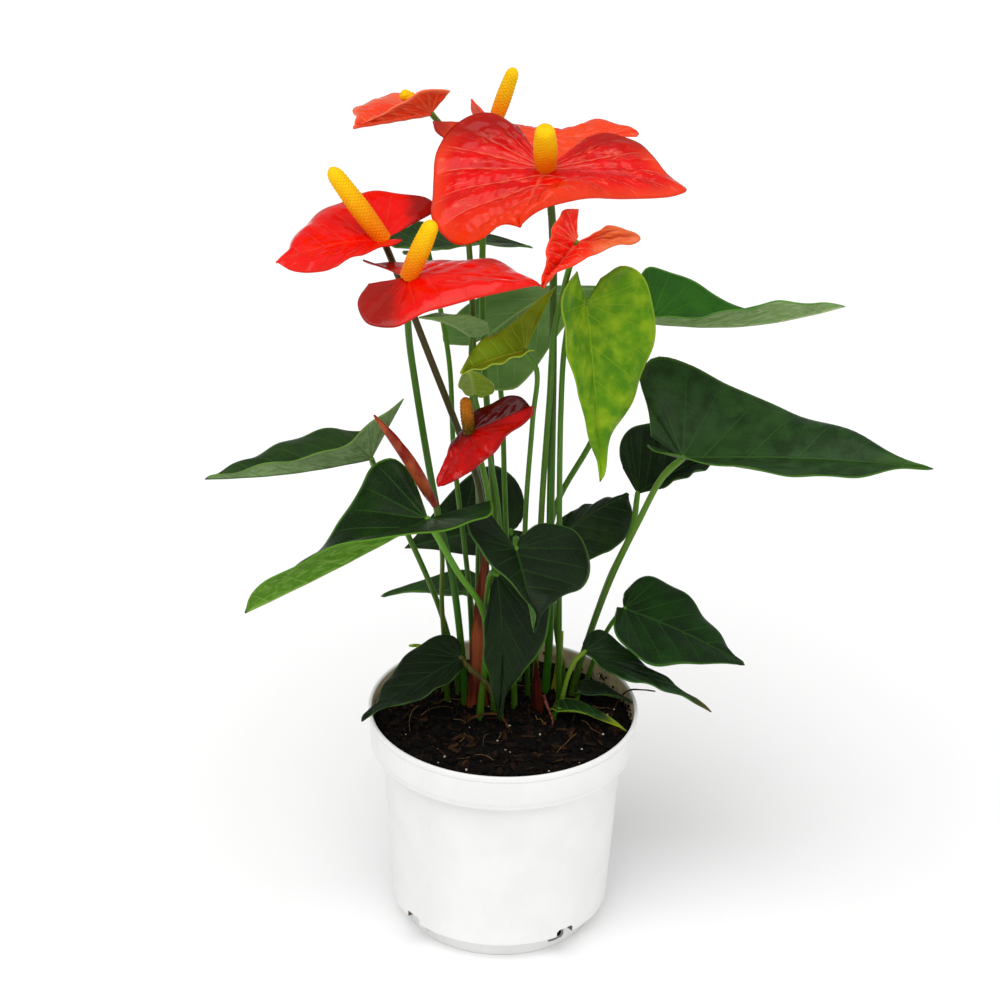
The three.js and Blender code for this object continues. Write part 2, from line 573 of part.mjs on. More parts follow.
// the bud: a spindle along its bent middle line, with its stalk
function budSolid() {
  const path = [BUD.at, BUD.bend, BUD.tip];
  const curve = new THREE.CatmullRomCurve3(path.map((p) => new THREE.Vector3(...p)), false);
  const steps = BUD_RINGS;
  const sides = BUD_SIDES;
  const frames = curve.computeFrenetFrames(steps, false);
  const position = [];
  const index = [];
  for (let i = 0; i <= steps; i += 1) {
    const t = i / steps;
    const centre = curve.getPointAt(t);
    const radius = BUD.radius * Math.sin(Math.PI * (0.18 + 0.78 * t)) ** 0.8;
    for (let j = 0; j < sides; j += 1) {
      const angle = (j * 2 * Math.PI) / sides;
      const place = centre.clone();
      place.addScaledVector(frames.normals[i], radius * Math.cos(angle));
      place.addScaledVector(frames.binormals[i], radius * Math.sin(angle));
      position.push(...place.toArray());
    }
  }
  for (let i = 0; i < steps; i += 1) {
    for (let j = 0; j < sides; j += 1) {
      const a = i * sides + j;
      const b = i * sides + ((j + 1) % sides);
      index.push(a, b, b + sides, a, b + sides, a + sides);
    }
  }
  for (let j = 1; j < sides - 1; j += 1) {
    index.push(0, j + 1, j);
    index.push(steps * sides, steps * sides + j, steps * sides + j + 1);
  }
  const geometry = new THREE.BufferGeometry();
  geometry.setAttribute('position', new THREE.Float32BufferAttribute(position, 3));
  geometry.setIndex(index);
  return toSolid(geometry).add(tube(stalkPath(BUD), BUD.stalk));
}

// ---------- sheaths: thin pointed scales that stand in the soil, wrapped round the stalks ----------
function sheathSolid(spec, grow = 0) {
  const rows = 7;
  const columns = 4;
  const places = [];
  const triangles = [];
  const foot = new THREE.Vector3(...spec.foot, SOIL.level - BURIED - grow);
  const top = new THREE.Vector3(...spec.top);
  const wider = (grow / spec.radius) * (180 / Math.PI);
  for (let i = 0; i <= rows; i += 1) {
    const t = i / rows;
    const reach = (spec.reach + wider) * (1 - 0.9 * t ** 2);
    for (let j = 0; j <= columns; j += 1) {
      const angle = radians(spec.turn + ((2 * j) / columns - 1) * reach);
      const around = new THREE.Vector3(Math.cos(angle), Math.sin(angle), 0);
      places.push(foot.clone().lerp(top, t).addScaledVector(around, spec.radius));
    }
  }
  for (let i = 0; i < rows; i += 1) {
    for (let j = 0; j < columns; j += 1) {
      const a = i * (columns + 1) + j;
      const b = a + columns + 1;
      triangles.push([a, a + 1, b + 1], [a, b + 1, b]);
    }
  }
  return thicken(places, triangles, LEAF_THICK + 2 * grow);
}

// ---------- pot and soil ----------
function potSolid() {
  const p = POT;
  const collarBottom = p.height - p.collarHeight;
  const bead = p.height - p.beadDrop;
  const underBead = p.rimRadius - p.footFlare;
  const outline = [
    [0, 0],
    [p.footRadius - p.edgeBreak, 0],
    [p.footRadius, p.edgeBreak],
    [p.footRadius + p.footFlare, p.footHeight],
    [p.cornerRadius - p.edgeBreak, p.footHeight],
    [p.cornerRadius, p.footHeight + p.edgeBreak],
    [p.shoulderRadius, collarBottom - 1],
    [p.collarLowRadius - 1, collarBottom],
    [p.collarLowRadius, collarBottom + 1],
    [underBead, bead - p.beadHalf],
    [underBead - p.beadDepth, bead],
    [p.rimRadius, bead + p.beadHalf],
    [p.rimRadius, p.height - p.edgeBreak],
    [p.rimRadius - p.edgeBreak, p.height],
    [p.rimRadius - p.wall, p.height],
    [p.collarLowRadius - p.wall, collarBottom + p.wall],
    [p.shoulderRadius - p.wall, collarBottom - p.floor],
    [p.cornerRadius - p.wall, p.footHeight + p.floor + 0.2],
    [p.footRadius - p.wall, p.footHeight + p.floor],
    [p.footRadius - p.wall, p.floor],
    [0, p.floor],
  ];
  const geometry = new THREE.LatheGeometry(outline.map((q) => new THREE.Vector2(...q)), p.segments);
  geometry.rotateX(Math.PI / 2);
  let pot = toSolid(geometry);
  for (let i = 0; i < NOTCH.count; i += 1) {
    const box = new THREE.BoxGeometry(NOTCH.depth, NOTCH.width, NOTCH.height);
    box.translate(p.footRadius + 1, 0, p.footHeight - NOTCH.height / 2 + NOTCH.rise);
    box.rotateZ(radians(NOTCH.firstAngle + (360 / NOTCH.count) * i));
    pot = pot.subtract(toSolid(box));
  }
  return pot;
}

// the soil's height at a place: a low mound round the crowns, lumps, and a fall toward the wall
function soilHeight(x, y) {
  const fromCrown = Math.hypot(x - SOIL.crown[0], y - SOIL.crown[1]) / SOIL.crownSpread;
  const mound = Math.exp(-(fromCrown ** 2));
  const edge = Math.max(0, (Math.hypot(x, y) - SOIL.edgeStart) / (POT.rimRadius - SOIL.edgeStart)) ** 2;
  const lumps = Math.sin(x * 0.31 + 1.3) * Math.cos(y * 0.27) + 0.6 * Math.sin(0.17 * (x + y) + 0.7);
  return SOIL.level + SOIL.crownRise * mound - SOIL.edgeDrop * edge + SOIL.bump * lumps;
}

function soilSolid(stalks) {
  const p = POT;
  const inner = (radius) => radius - p.wall - CLEAR;
  const collarBottom = p.height - p.collarHeight;
  const ledge = p.footHeight + p.floor + 2 * CLEAR;
  const topRadius = inner(p.collarLowRadius);
  const outline = [
    [0, p.floor + CLEAR],
    [inner(p.footRadius), p.floor + CLEAR],
    [inner(p.footRadius), ledge],
    [inner(p.cornerRadius), ledge + 0.2],
    [inner(p.shoulderRadius), collarBottom - p.floor - 0.2],
    [topRadius, collarBottom + 2 * p.wall],
  ];
  for (let i = 0; i <= SOIL.rings; i += 1) {
    outline.push([topRadius * (1 - i / SOIL.rings), SOIL.level]);
  }
  const geometry = new THREE.LatheGeometry(outline.map((q) => new THREE.Vector2(...q)), SOIL.segments);
  geometry.rotateX(Math.PI / 2);
  const position = geometry.attributes.position;
  for (let i = 0; i < position.count; i += 1) {
    const [x, y, z] = [position.getX(i), position.getY(i), position.getZ(i)];
    if (z > SOIL.level - 0.1) position.setZ(i, soilHeight(x, y));
  }
  let soil = toSolid(geometry);
  const depth = 2 * SOIL.sink;
  for (const { root, stalk } of stalks) {
    const radius = stalk / Math.cos(Math.PI / STALK_SIDES) + 3 * CLEAR;
    const hole = new THREE.CylinderGeometry(radius, radius, depth, STALK_SIDES);
    hole.rotateX(Math.PI / 2);
    hole.translate(root[0], root[1], holeBottom + depth / 2);
    soil = soil.subtract(toSolid(hole));
  }
  return soil;
}

// ---------- the whole plant ----------
const plant = new THREE.Group();

function addNode(name, solid, color, roughness) {
  const material = new THREE.MeshStandardMaterial({ color, roughness, metalness: 0 });
  const mesh = new THREE.Mesh(toGeometry(solid), material);
  mesh.name = name;
  plant.add(mesh);
}

addNode('pot', potSolid(), POT_WHITE, ROUGHNESS.pot);

for (const spec of LEAVES) addNode(spec.name, leafSolid(spec), GREEN[spec.color], ROUGHNESS.leaf);

for (const spec of BLOOMS) {
  const path = stalkPath(spec);
  const spadixRoom = spadixSolid(spec, CLEAR);
  const stalk = tube(path, spec.stalk).subtract(spadixRoom);
  const stalkRoom = tube(path, spec.stalk + CLEAR);
  const spathe = bladeSolid(spec, SPATHE_THICK).subtract(stalkRoom).subtract(spadixRoom);
  addNode(`${spec.name}_stalk`, stalk, GREEN.middle, ROUGHNESS.stalk);
  addNode(`${spec.name}_spathe`, spathe, spec.color, ROUGHNESS.spathe);
  addNode(`${spec.name}_spadix`, spadixSolid(spec), SPADIX_YELLOW, ROUGHNESS.spadix);
}
addNode(BUD.name, budSolid(), SHEATH_BROWN, ROUGHNESS.leaf);

for (const spec of SHEATHS) addNode(spec.name, sheathSolid(spec), SHEATH_BROWN, ROUGHNESS.sheath);

let soil = soilSolid([...LEAVES, ...BLOOMS, BUD]);
for (const spec of SHEATHS) soil = soil.subtract(sheathSolid(spec, 3 * CLEAR));
for (const spec of TWIGS) {
  const twig = tube(spec.points, spec.radius, TWIG_SIDES, TWIG_STEP);
  const twigRoom = tube(spec.points, spec.radius + CLEAR, TWIG_SIDES, TWIG_STEP);
  addNode(spec.name, twig, SHEATH_BROWN, ROUGHNESS.sheath);
  soil = soil.subtract(twigRoom);
}
addNode('soil', soil, SOIL_BROWN, ROUGHNESS.soil);

export default plant;
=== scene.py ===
import math

import bmesh
import bpy
import numpy as np
from mathutils import Matrix, Vector, noise


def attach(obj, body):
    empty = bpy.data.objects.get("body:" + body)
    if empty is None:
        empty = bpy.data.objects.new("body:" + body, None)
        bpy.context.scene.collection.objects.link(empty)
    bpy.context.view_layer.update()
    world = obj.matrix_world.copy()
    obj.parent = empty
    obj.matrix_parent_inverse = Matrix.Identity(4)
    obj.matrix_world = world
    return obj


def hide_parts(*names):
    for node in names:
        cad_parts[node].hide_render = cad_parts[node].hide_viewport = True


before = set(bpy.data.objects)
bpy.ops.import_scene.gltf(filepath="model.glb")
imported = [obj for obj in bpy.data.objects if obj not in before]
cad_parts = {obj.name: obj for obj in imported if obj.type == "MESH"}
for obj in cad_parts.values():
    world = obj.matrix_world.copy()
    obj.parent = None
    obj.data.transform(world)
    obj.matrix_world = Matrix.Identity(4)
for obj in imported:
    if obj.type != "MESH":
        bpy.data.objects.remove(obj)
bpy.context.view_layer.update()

MM = 0.001
SEED = 11

# ---------- the same driving dimensions as the solids ----------
POT = dict(
    height=105, rim_radius=60, wall=1.5, collar_height=18, collar_low_radius=58.6, shoulder_radius=53.5,
    corner_radius=48.5, foot_radius=42, foot_height=9, foot_flare=0.3, floor=2, bead_drop=3, bead_half=0.5,
    bead_depth=0.4,
)
NOTCH = dict(width=9, height=10, depth=14, count=4, first_angle=-142, rise=4, rounding=0.8)
SOIL = dict(
    level=97, crown=(6, 22), crown_rise=3, crown_spread=30, edge_start=40, edge_drop=2, bump=0.9, sink=16
)
CLEAR = 0.3
BURIED = 4

# ---------- how finely the surfaces are made ----------
LEAF_THICK = 0.6
SPATHE_THICK = 0.7
LEAF_ROWS = (14, 8, 24)
LEAF_COLUMNS = 15
SPATHE_ROWS = (26, 14, 40)
SPATHE_COLUMNS = 30
STALK = dict(
    sides=14, foot_swell=0.25, foot_reach=9, joint_swell=0.16, joint_at=7, joint_reach=5, taper=0.08
)
TWIG_SIDES = 10
BUD_SIDES = 36
POT_SEGMENTS = 192
FLORET, FLORET_WIDTH = 0.85, 1.35  # the height of a row of florets on a spadix and their width, in mm
FLORET_SIDES, FLORET_RING = 10, 0.17  # sides for each floret round a spadix, and mm from ring to ring
SPADIX_CAP = 0.14  # the share of a spadix that its round end takes
SHEATH_THICK = 0.45
SHEATH_ROWS, SHEATH_COLUMNS = 60, 22
RIM_SPAN = (0.1, 0.1)  # the second map of the narrow faces round a shell
PEAT_TOP_RINGS = 52
PEAT_SEGMENTS = 200
FIBRE_SIDES = 5
FIBRE_REACH = 54  # how far from the middle the fibres may come, in mm
LITTER = dict(crumbs=1500, wall_crumbs=340, chips=170, specks=90, fibres=60)

# ---------- how a blade is spanned ----------
STRETCHES = 3  # the margin's coordinate runs from 0 to 3
SPAN_UNIT = 200.0  # a blade's second map holds how many mm a step of each coordinate is, divided by this
DOME = (1, 1)  # how far the left and the right half of a drawn blade swell, in mm
FULLNESS = 0.2  # how full a plain heart is
CURL = 12  # how many degrees more the margins are raised
LOBE_SLOPE = 0.4  # how much of the arch's slope the lobes keep on with
FIRST_VEIN = 1.4  # the veins of the rows before this one start at the stalk, the others along the midrib
# lengths in mm
FULL_FIELD = 7  # fields this wide have their full height
FULL_RELIEF = 12  # rows that spread this far for each step have their full relief
PUCKER = 2.4  # sets how far apart the small folds across a field are
WRINKLE = 1.1  # the same for the fine wrinkles
RIPPLE = 0.1  # how high a leaf's fine wrinkles stand
SEAM = 1.6  # how far from the midrib its groove reaches

# ---------- the leaves ----------
# root: where the stalk leaves the soil, x and y. via: places the stalk passes through. at: where blade
# and stalk meet. tip: the blade's tip. arch, sway: how far the midrib bows up and to the left, as a share
# of its length, and sway is 0 unless it is given.
# A drawn blade has edge: the places that its margin passes through from the stalk to the tip, left and
# right, looking from the stalk to the tip with the upper face up; and dome: how far each half swells above
# the straight lines from the midrib to the margin, if it isn't DOME.
# A plain heart has half: its widths left and right of the midrib, lobe: how far the lobes reach behind
# `at`, left, right: how many degrees that half is raised above level, at the stalk and at the tip, and
# fullness: how far forward the width goes.
# own: colours and measures that replace those of its look, and the colours of the tip and of mottles, which
# on leaf_large_right are painted sheen.
# stalk_colors: as STALK_COLORS.
LEAVES = {
    "leaf_large_right": dict(
        # the lighter grey-green patches on this leaf's upper face are painted sheen
        own=dict(upper="17300f", other="26461a", mottle_and_sheen="2a4c20", vein="3a6024", edge="44701c", tip="3c6418"),
        stalk_colors=("2c4a0c", "5a8420"),
        look="dark", stalk=1.5, root=(31, 20), via=((45, 25, 152), (58, 24, 187), (68, 22, 211)),
        at=(76, 20, 221), tip=(183, 0, 229), arch=0.02, dome=(2, 0),
        edge=(
            ((62, 28, 227), (61, 38, 234), (57, 50, 246), (63, 57, 251), (80, 58, 247), (97, 54, 240),
             (111, 47, 236), (124, 38, 235), (145, 24, 235), (174, 4, 230)),
            ((60, 4, 236), (63, -4, 236), (74, -10, 237), (93, -15, 236), (125, -17, 233), (143, -14, 231),
             (165, -5, 230)),
        ),
    ),
    "leaf_lime_hanging": dict(
        own=dict(mottle_and_sheen="8caa14", tip="86ac0c"),
        look="lime", stalk=1.3, root=(25, 14), via=((22, 2, 250), (23, -1, 287), (26, -6, 305)),
        at=(31, -10, 309), tip=(39, -36, 238), arch=0.03, dome=(2, 2),
        edge=(
            ((37, -2, 317), (46, 2, 321), (54, 2, 317), (60, -2, 303), (60, -5, 290), (54, -14, 273),
             (42, -28, 251)),
            ((26, -21, 329), (23, -25, 326), (21, -28, 314), (22, -29, 303), (27, -31, 282), (36, -34, 250)),
        ),
    ),
    "leaf_young_olive": dict(
        own=dict(
            upper="78980a", other="5c6c06", vein="a4b834", edge="a8bc3c", under="5c6404", under_vein="8c9a2c",
        ),
        look="fresh", stalk=1.2, root=(11, 17), via=((8, 14, 185), (10, 0, 248), (11, -9, 277)),
        at=(6, -14, 288), tip=(-21, -32, 286), arch=0.03, dome=(0, 1),
        edge=(
            ((10, -19, 291), (2, -24, 290), (-7, -28, 288), (-15, -31, 287)),
            ((18, -1, 312), (12, -2, 307), (6, -5, 302), (-3, -12, 297), (-13, -21, 295), (-18, -28, 291)),
        ),
    ),
    "leaf_back_pale": dict(
        look="pale", stalk=1.3, root=(3, 36), via=((-1, 52, 180), (-5, 58, 240)), at=(-11, 60, 258),
        tip=(44, 98, 265), half=(24, 27), lobe=(14, 12), left=(-8, -8), right=(-55, -45), arch=0.12,
    ),
    "leaf_behind_blooms": dict(
        look="middle", stalk=1.2, root=(-14, 28), via=((-16, 28, 146), (-24, 41, 209), (-27, 47, 254)),
        at=(-37, 62, 299), tip=(9, 84, 291), half=(22, 20), lobe=(14, 16), left=(-4, -6),
        right=(14, 10), arch=0.05,
    ),
    "leaf_back_right": dict(
        own=dict(
            upper="1c5008", other="2c660c", vein="3c7a18", edge="5a8c34", under="7c9c58", under_vein="b8cc98",
        ),
        look="dark", stalk=1.4, root=(27, 28), via=((20, 33, 182), (37, 40, 219)), at=(60, 45, 274),
        tip=(146, 60, 277), arch=-0.06,
        dome=(1, 0),
        edge=(
            ((54, 59, 287), (60, 68, 290), (76, 70, 284), (88, 69, 278), (102, 66, 271), (119, 63, 270)),
            ((54, 38, 284), (62, 36, 281), (82, 38, 281), (101, 42, 283), (111, 46, 284), (126, 52, 282)),
        ),
    ),
    "leaf_left": dict(
        own=dict(
            upper="1a340e", other="264414", vein="3a6420", edge="6c9440", under="84a068", under_vein="3c5c20",
        ),
        look="middle", stalk=1.3, root=(-20, 20), via=((-28, 19, 140), (-46, 18, 187), (-57, 13, 214)),
        at=(-59, 0, 228), tip=(-130, -10, 222), arch=-0.03, dome=(1, 2),
        edge=(
            ((-45, -8, 261), (-55, -8, 253), (-62, -8, 246), (-69, -9, 240), (-79, -9, 235),
             (-92, -10, 232), (-112, -10, 227)),
            ((-56, 12, 232), (-62, 19, 231), (-76, 21, 231), (-86, 19, 230), (-105, 9, 226), (-124, -6, 223)),
        ),
    ),
    "leaf_large_left": dict(
        own=dict(
            upper="0f240a", other="1c3c0e", vein="3c6c1c", edge="5c9020", under="4a7a12", under_vein="86b048",
        ),
        stalk_colors=("3c6410", "64a028"),
        look="dark", stalk=1.5, root=(-10, 2), via=((-9, 0, 151), (-21, -7, 177), (-31, -17, 202)),
        at=(-34, -22, 211), tip=(-110, -62, 186), arch=-0.01, dome=(1, 2),
        edge=(
            ((-7, -20, 220), (-6, -26, 218), (-8, -31, 217), (-17, -38, 218), (-29, -45, 218),
             (-40, -50, 218), (-60, -54, 218), (-85, -57, 209), (-107, -61, 194)),
            ((-39, -12, 222), (-43, -5, 226), (-50, -1, 229), (-58, 1, 224), (-64, -1, 214),
             (-76, -20, 200), (-92, -46, 196)),
        ),
    ),
    "leaf_front": dict(
        # these colours are darker than those of the leaves higher up: partly painted shade from the leaves
        # above
        own=dict(upper="0b1a06", other="142a0b", vein="28481a", edge="48702a"),
        look="dark", stalk=1.3, root=(5, 9), via=((4, 8, 150), (4, 5, 182), (4, -5, 193)),
        at=(4, -12, 192), tip=(13, -38, 165), arch=0.04, dome=(2, 1),
        edge=(
            ((6, -9, 197), (14, -4, 200), (22, -1, 198), (30, 0, 194), (35, -3, 188), (36, -9, 180),
             (33, -16, 175), (23, -24, 175), (17, -31, 172)),
            ((-7, -14, 209), (-12, -15, 213), (-17, -19, 211), (-16, -23, 207),
             (-12, -28, 200), (0, -34, 189), (11, -37, 177)),
        ),
    ),
    "leaf_front_hanging": dict(
        # these colours are darker than those of the leaves higher up: partly painted shade from the leaves
        # above
        own=dict(upper="0c1c07", other="13280a", vein="28481a", edge="50801f"),
        look="dark", stalk=1.4, root=(-4, 6), via=((-8, 4, 142), (-8, 3, 160), (-6, 0, 173)),
        at=(-4, -3, 174), tip=(-2, -22, 110), arch=0.03, sway=0.03,
        edge=(
            ((9, -1, 171), (18, 0, 163), (20, -2, 155), (15, -12, 139), (8, -16, 132), (2, -19, 123)),
            ((-7, -5, 168), (-9, -11, 146), (-8, -15, 136), (-5, -19, 125)),
        ),
    ),
    "leaf_low_left": dict(
        # these colours are darker than those of the leaves higher up: partly painted shade from the leaves
        # above
        own=dict(upper="0b1908", other="14240e", vein="28401c", edge="3a5a24"),
        stalk_colors=("3a3214", "4c3c1c"),
        look="dark", stalk=1.2, root=(-1, -1), via=((-8, -2, 118), (-14, -2, 124)),
        at=(-19, -1, 130), tip=(-62, -32, 115), arch=0.03,
        edge=(
            ((-18, -6, 128), (-22, -14, 127), (-29, -20, 125), (-41, -26, 121), (-51, -28, 120)),
            ((-19, 4, 134), (-23, 8, 136), (-29, 9, 135), (-39, 4, 132), (-49, -8, 126), (-55, -20, 120)),
        ),
    ),
    "leaf_right_heart": dict(
        own=dict(upper="0d2408", other="173a0b", vein="2c5418", edge="3c6a1c"),
        look="dark", stalk=1.1, root=(37, 25), via=((46, 23, 132),),
        at=(53, 18, 146), tip=(107, 5, 126), arch=0.03,
        edge=(
            ((52, 22, 148), (54, 30, 149), (60, 36, 151), (67, 37, 151), (81, 31, 146), (90, 24, 138),
             (103, 9, 128)),
            ((50, 12, 150), (48, 5, 150), (48, -1, 148), (51, -6, 144), (58, -11, 138), (66, -12, 135),
             (86, -5, 132), (97, 0, 129)),
        ),
    ),
    "leaf_right_low": dict(
        own=dict(upper="10240e", other="1e3a18", vein="345426", edge="4c7430", tip="5c5020"),
        stalk_colors=("4a7014", "7c9c2c"),
        look="dark", stalk=1.1, root=(26, 8), via=((29, 9, 117), (32, 10, 124)),
        at=(36, 10, 128), tip=(92, -14, 113), arch=0.03,
        edge=(
            ((35, 14, 130), (37, 18, 132), (41, 20, 133), (46, 18, 133), (60, 7, 126), (68, 0, 124),
             (82, -9, 118)),
            ((37, 4, 129), (43, 0, 127), (48, -5, 125), (65, -10, 123), (82, -13, 118)),
        ),
    ),
    "leaf_right_behind": dict(
        look="dark", stalk=1.3, root=(33, 32), via=((46, 36, 150), (56, 44, 172)),
        at=(58, 48, 188), tip=(97, 78, 195), arch=0.03,
        edge=(
            ((53, 53, 195), (50, 57, 201), (50, 61, 206), (53, 66, 210), (60, 71, 211), (72, 76, 209)),
            ((68, 43, 194), (73, 44, 196), (81, 50, 197), (90, 60, 196)),
        ),
    ),
    "leaf_middle_behind": dict(
        look="dark", stalk=1.2, root=(20, 35), via=((19, 42, 140),),
        at=(22, 46, 165), tip=(55, 70, 176), arch=0.05,
        edge=(
            ((22, 52, 170), (28, 60, 171), (34, 66, 171), (45, 70, 173)),
            ((24, 36, 161), (36, 38, 159), (45, 44, 160), (52, 52, 161), (56, 58, 165), (56, 64, 170)),
        ),
    ),
    "leaf_young_light": dict(
        look="fresh", stalk=0.9, root=(1, 23), via=((-4, 14, 200), (-11, 8, 238)), at=(-15, 4, 258),
        tip=(-18, -12, 278), half=(9, 8), lobe=(3, 3), left=(10, 10), right=(10, 10), arch=0.06,
    ),
    "leaf_edge_on": dict(
        look="pale", stalk=1, root=(-13, 22), via=((-13, 20, 200), (-16, 16, 240), (-17, 15, 268)),
        at=(-17, 15, 280), tip=(-39, -8, 300), half=(10, 10), lobe=(5, 5), left=(45, 45),
        right=(20, 20), arch=0.05,
    ),
    "leaf_dark_behind": dict(
        look="dark", stalk=1.2, root=(7, 30), via=((5, 56, 132),), at=(2, 66, 158), tip=(-46, 60, 151),
        half=(13, 30), lobe=(8, 8), left=(-55, -50), right=(55, 50), arch=0.04,
        fullness=0.6,
    ),
    "leaf_low_left_behind": dict(
        look="middle", stalk=1, root=(-14, 35), via=((-14, 46, 122),), at=(-16, 52, 133),
        tip=(-57, 60, 126), half=(10, 12), lobe=(5, 5), left=(10, 10), right=(15, 15), arch=0.05,
    ),
    "leaf_soil_grey": dict(
        own=dict(upper="121c0c", other="1c2c14", vein="2c4420", edge="34502a"),
        look="middle", stalk=0.9, root=(33, 13), via=(), at=(34, 13, 105), tip=(58, 6, 105),
        half=(7, 6), lobe=(2, 2), left=(20, 20), right=(15, 15), arch=0.06,
    ),
    "leaf_soil_bright": dict(
        own=dict(upper="0c2406", other="16380a", vein="3a6418", edge="6c8c20", tip="a8b81c"),
        look="fresh", stalk=0.9, root=(23, 1), via=(), at=(25, 0, 104), tip=(55, -12, 101),
        half=(6, 7), lobe=(3, 3), left=(15, 15), right=(15, 15), arch=0.08,
    ),
    "leaf_stub_olive": dict(
        look="fresh", stalk=0.8, root=(-27, 24), via=(), at=(-30, 27, 116), tip=(-43, 30, 118),
        half=(3, 3), lobe=(1, 1), left=(30, 30), right=(20, 20), arch=0.04,
    ),
}

# ---------- the blooms: as the leaves, with where the spadix ends and its widest radius ----------
# neck: the colour of the last part of the stalk. tints: what Shader.tinted gets. spadix_colors: as
# SPADIX_COLORS.
BLOOMS = {
    "bloom_main": dict(
        stalk_colors=("2f6c10", "44681c"), neck="4c3414",
        # the second tint, dark maroon over the rear of the spathe, is painted shade
        own=dict(upper="e00603", other="c00602", tints=(("ea3810", 1, -2, -28), ("980a04", 1, 14, 32))),
        look="orange", stalk=1.8, root=(19, 21),
        via=((20, 17, 130), (19, 12, 191), (18, 8, 278), (16, 8, 340)), at=(13, 10, 361),
        tip=(2, -31, 353), arch=0.05, dome=(6, 3), spadix=dict(top=(12, -2, 385), radius=5),
        edge=(
            ((30, 28, 367), (41, 32, 368), (52, 28, 366), (62, 14, 359), (72, 3, 356),
             (64, -1, 354), (46, -8, 356), (28, -18, 360), (14, -27, 360), (7, -29, 357)),
            ((1, 32, 371), (-12, 36, 374), (-25, 33, 371), (-32, 21, 364), (-34, 0, 352),
             (-33, -10, 345), (-24, -21, 340), (-13, -25, 344), (-4, -27, 352)),
        ),
    ),
    "bloom_left": dict(
        stalk_colors=("3a4a14", "48401c"), neck="3c2410",
        own=dict(tints=(("7c100a", 0, -48, -40),)),
        look="red", stalk=1.6, root=(-7, 24),
        via=((-12, 14, 205), (-20, 5, 235), (-34, -3, 278), (-49, -8, 322)), at=(-54, -10, 336),
        tip=(-97, -40, 339), arch=0.05, dome=(2, 3), spadix=dict(top=(-76, -12, 369), radius=4.2),
        edge=(
            ((-46, -16, 339), (-53, -21, 338), (-65, -29, 337), (-78, -38, 334), (-90, -42, 336)),
            ((-31, 11, 341), (-38, 16, 344), (-50, 18, 345), (-62, 17, 345),
             (-77, 6, 343), (-88, -12, 341), (-93, -32, 339)),
        ),
    ),
    "bloom_front": dict(
        stalk_colors=("2f640f", "3e6e18"), neck="4c3414",
        own=dict(tints=(("84140a", 0, -40, -52), ("7c1408", 1, -16, -8))),
        look="red", stalk=1.6, root=(-17, 14),
        via=((-23, 8, 163), (-31, 4, 204), (-40, -9, 268), (-43, -22, 301)), at=(-43, -31, 329),
        tip=(12, -42, 332), arch=0.04, dome=(1, 3), spadix=dict(top=(-33, -34, 356), radius=4.2),
        edge=(
            ((-62, -16, 330), (-58, -13, 326), (-46, -10, 326),
             (-30, -11, 327), (-12, -14, 330), (-2, -20, 330), (6, -32, 330)),
            ((-59, -40, 330), (-63, -47, 325), (-59, -55, 319), (-48, -57, 319),
             (-35, -54, 324), (-18, -50, 328), (-6, -49, 331), (5, -45, 332)),
        ),
    ),
    "bloom_upper_left": dict(
        stalk_colors=("2c4c0e", "4c6a1c"),
        own=dict(
            upper="f03c16", other="e44a24", edge="f47a50", quilt=0.7, wave=0.3,
            tints=(("f06440", 1, 52, 70),),
        ),
        look="orange", stalk=1.4, root=(-8, 31),
        via=((-13, 33, 200), (-16, 23, 268), (-17, 27, 293), (-22, 58, 330), (-27, 66, 348)),
        at=(-36, 55, 366), tip=(-68, 27, 371), arch=0,
        spadix=dict(base=(-39, 55, 369), top=(-49, 53, 376), radius=2.8),
        edge=(
            ((-28, 51, 378), (-38, 47, 380), (-48, 42, 376), (-60, 33, 372)),
            ((-43, 73, 366), (-52, 73, 367), (-62, 59, 369), (-69, 44, 371), (-67, 34, 372)),
        ),
    ),
    "bloom_top": dict(
        own=dict(upper="ec401c", other="e8481f", lines=0.2, quilt=1.0, tints=(("a0241a", 0, -20, -34),)),
        look="orange", stalk=1.5, root=(0, 31),
        via=((-7, 39, 200), (-12, 34, 270), (-13, 40, 317), (-12, 62, 340)), at=(-9, 75, 354),
        tip=(54, 86, 346), arch=-0.06, dome=(0, 0), spadix=dict(top=(-1, 71, 381), radius=3.4),
        edge=(
            ((-20, 90, 358), (-18, 93, 351), (-4, 100, 340), (12, 101, 338), (27, 97, 342),
             (37, 94, 348), (47, 89, 348)),
            ((-35, 51, 364), (-34, 50, 359), (-22, 50, 352), (-8, 53, 347),
             (10, 60, 341), (28, 70, 342), (44, 81, 345)),
        ),
    ),
    "bloom_right_folded": dict(
        own=dict(upper="e61408", other="ec2c10", tints=(("dc6c38", 0, 28, 40),), quilt=0.8),
        look="orange", stalk=1.4, root=(14, 10),
        via=((15, 10, 200), (17, 2, 258), (18, -9, 294), (22, -18, 322)), at=(26, -24, 343),
        tip=(12, -46, 333), arch=0, dome=(2, 1),
        spadix=dict(base=(25, -21, 344), top=(22, -14, 347), radius=2.2),
        edge=(
            ((38, -28, 352), (45, -28, 352), (52, -31, 349), (47, -33, 347), (38, -36, 346),
             (31, -40, 344), (26, -43, 342), (18, -45, 339)),
            ((26, -17, 355), (21, -20, 356), (17, -27, 353), (14, -36, 347), (13, -43, 340)),
        ),
    ),
    "bloom_low_dark": dict(
        spadix_colors=("4c3804", "b06410"),
        own=dict(upper="b80604", other="d20a06", tints=(("300202", 1, -18, -10),)),
        look="dark", stalk=1.4, root=(-2, 13), via=((-7, 8, 195), (-12, -3, 230)), at=(-17, -12, 248),
        tip=(-30, -24, 228), arch=0, spadix=dict(top=(-19, -13, 265), radius=2.8),
        edge=(
            ((10, -17, 264), (10, -19, 260), (2, -22, 255), (-7, -26, 245), (-16, -27, 237), (-26, -26, 230)),
            ((10, -5, 256), (4, -1, 260), (-8, -2, 257), (-17, -4, 250), (-22, -7, 243), (-28, -16, 234)),
        ),
    ),
}

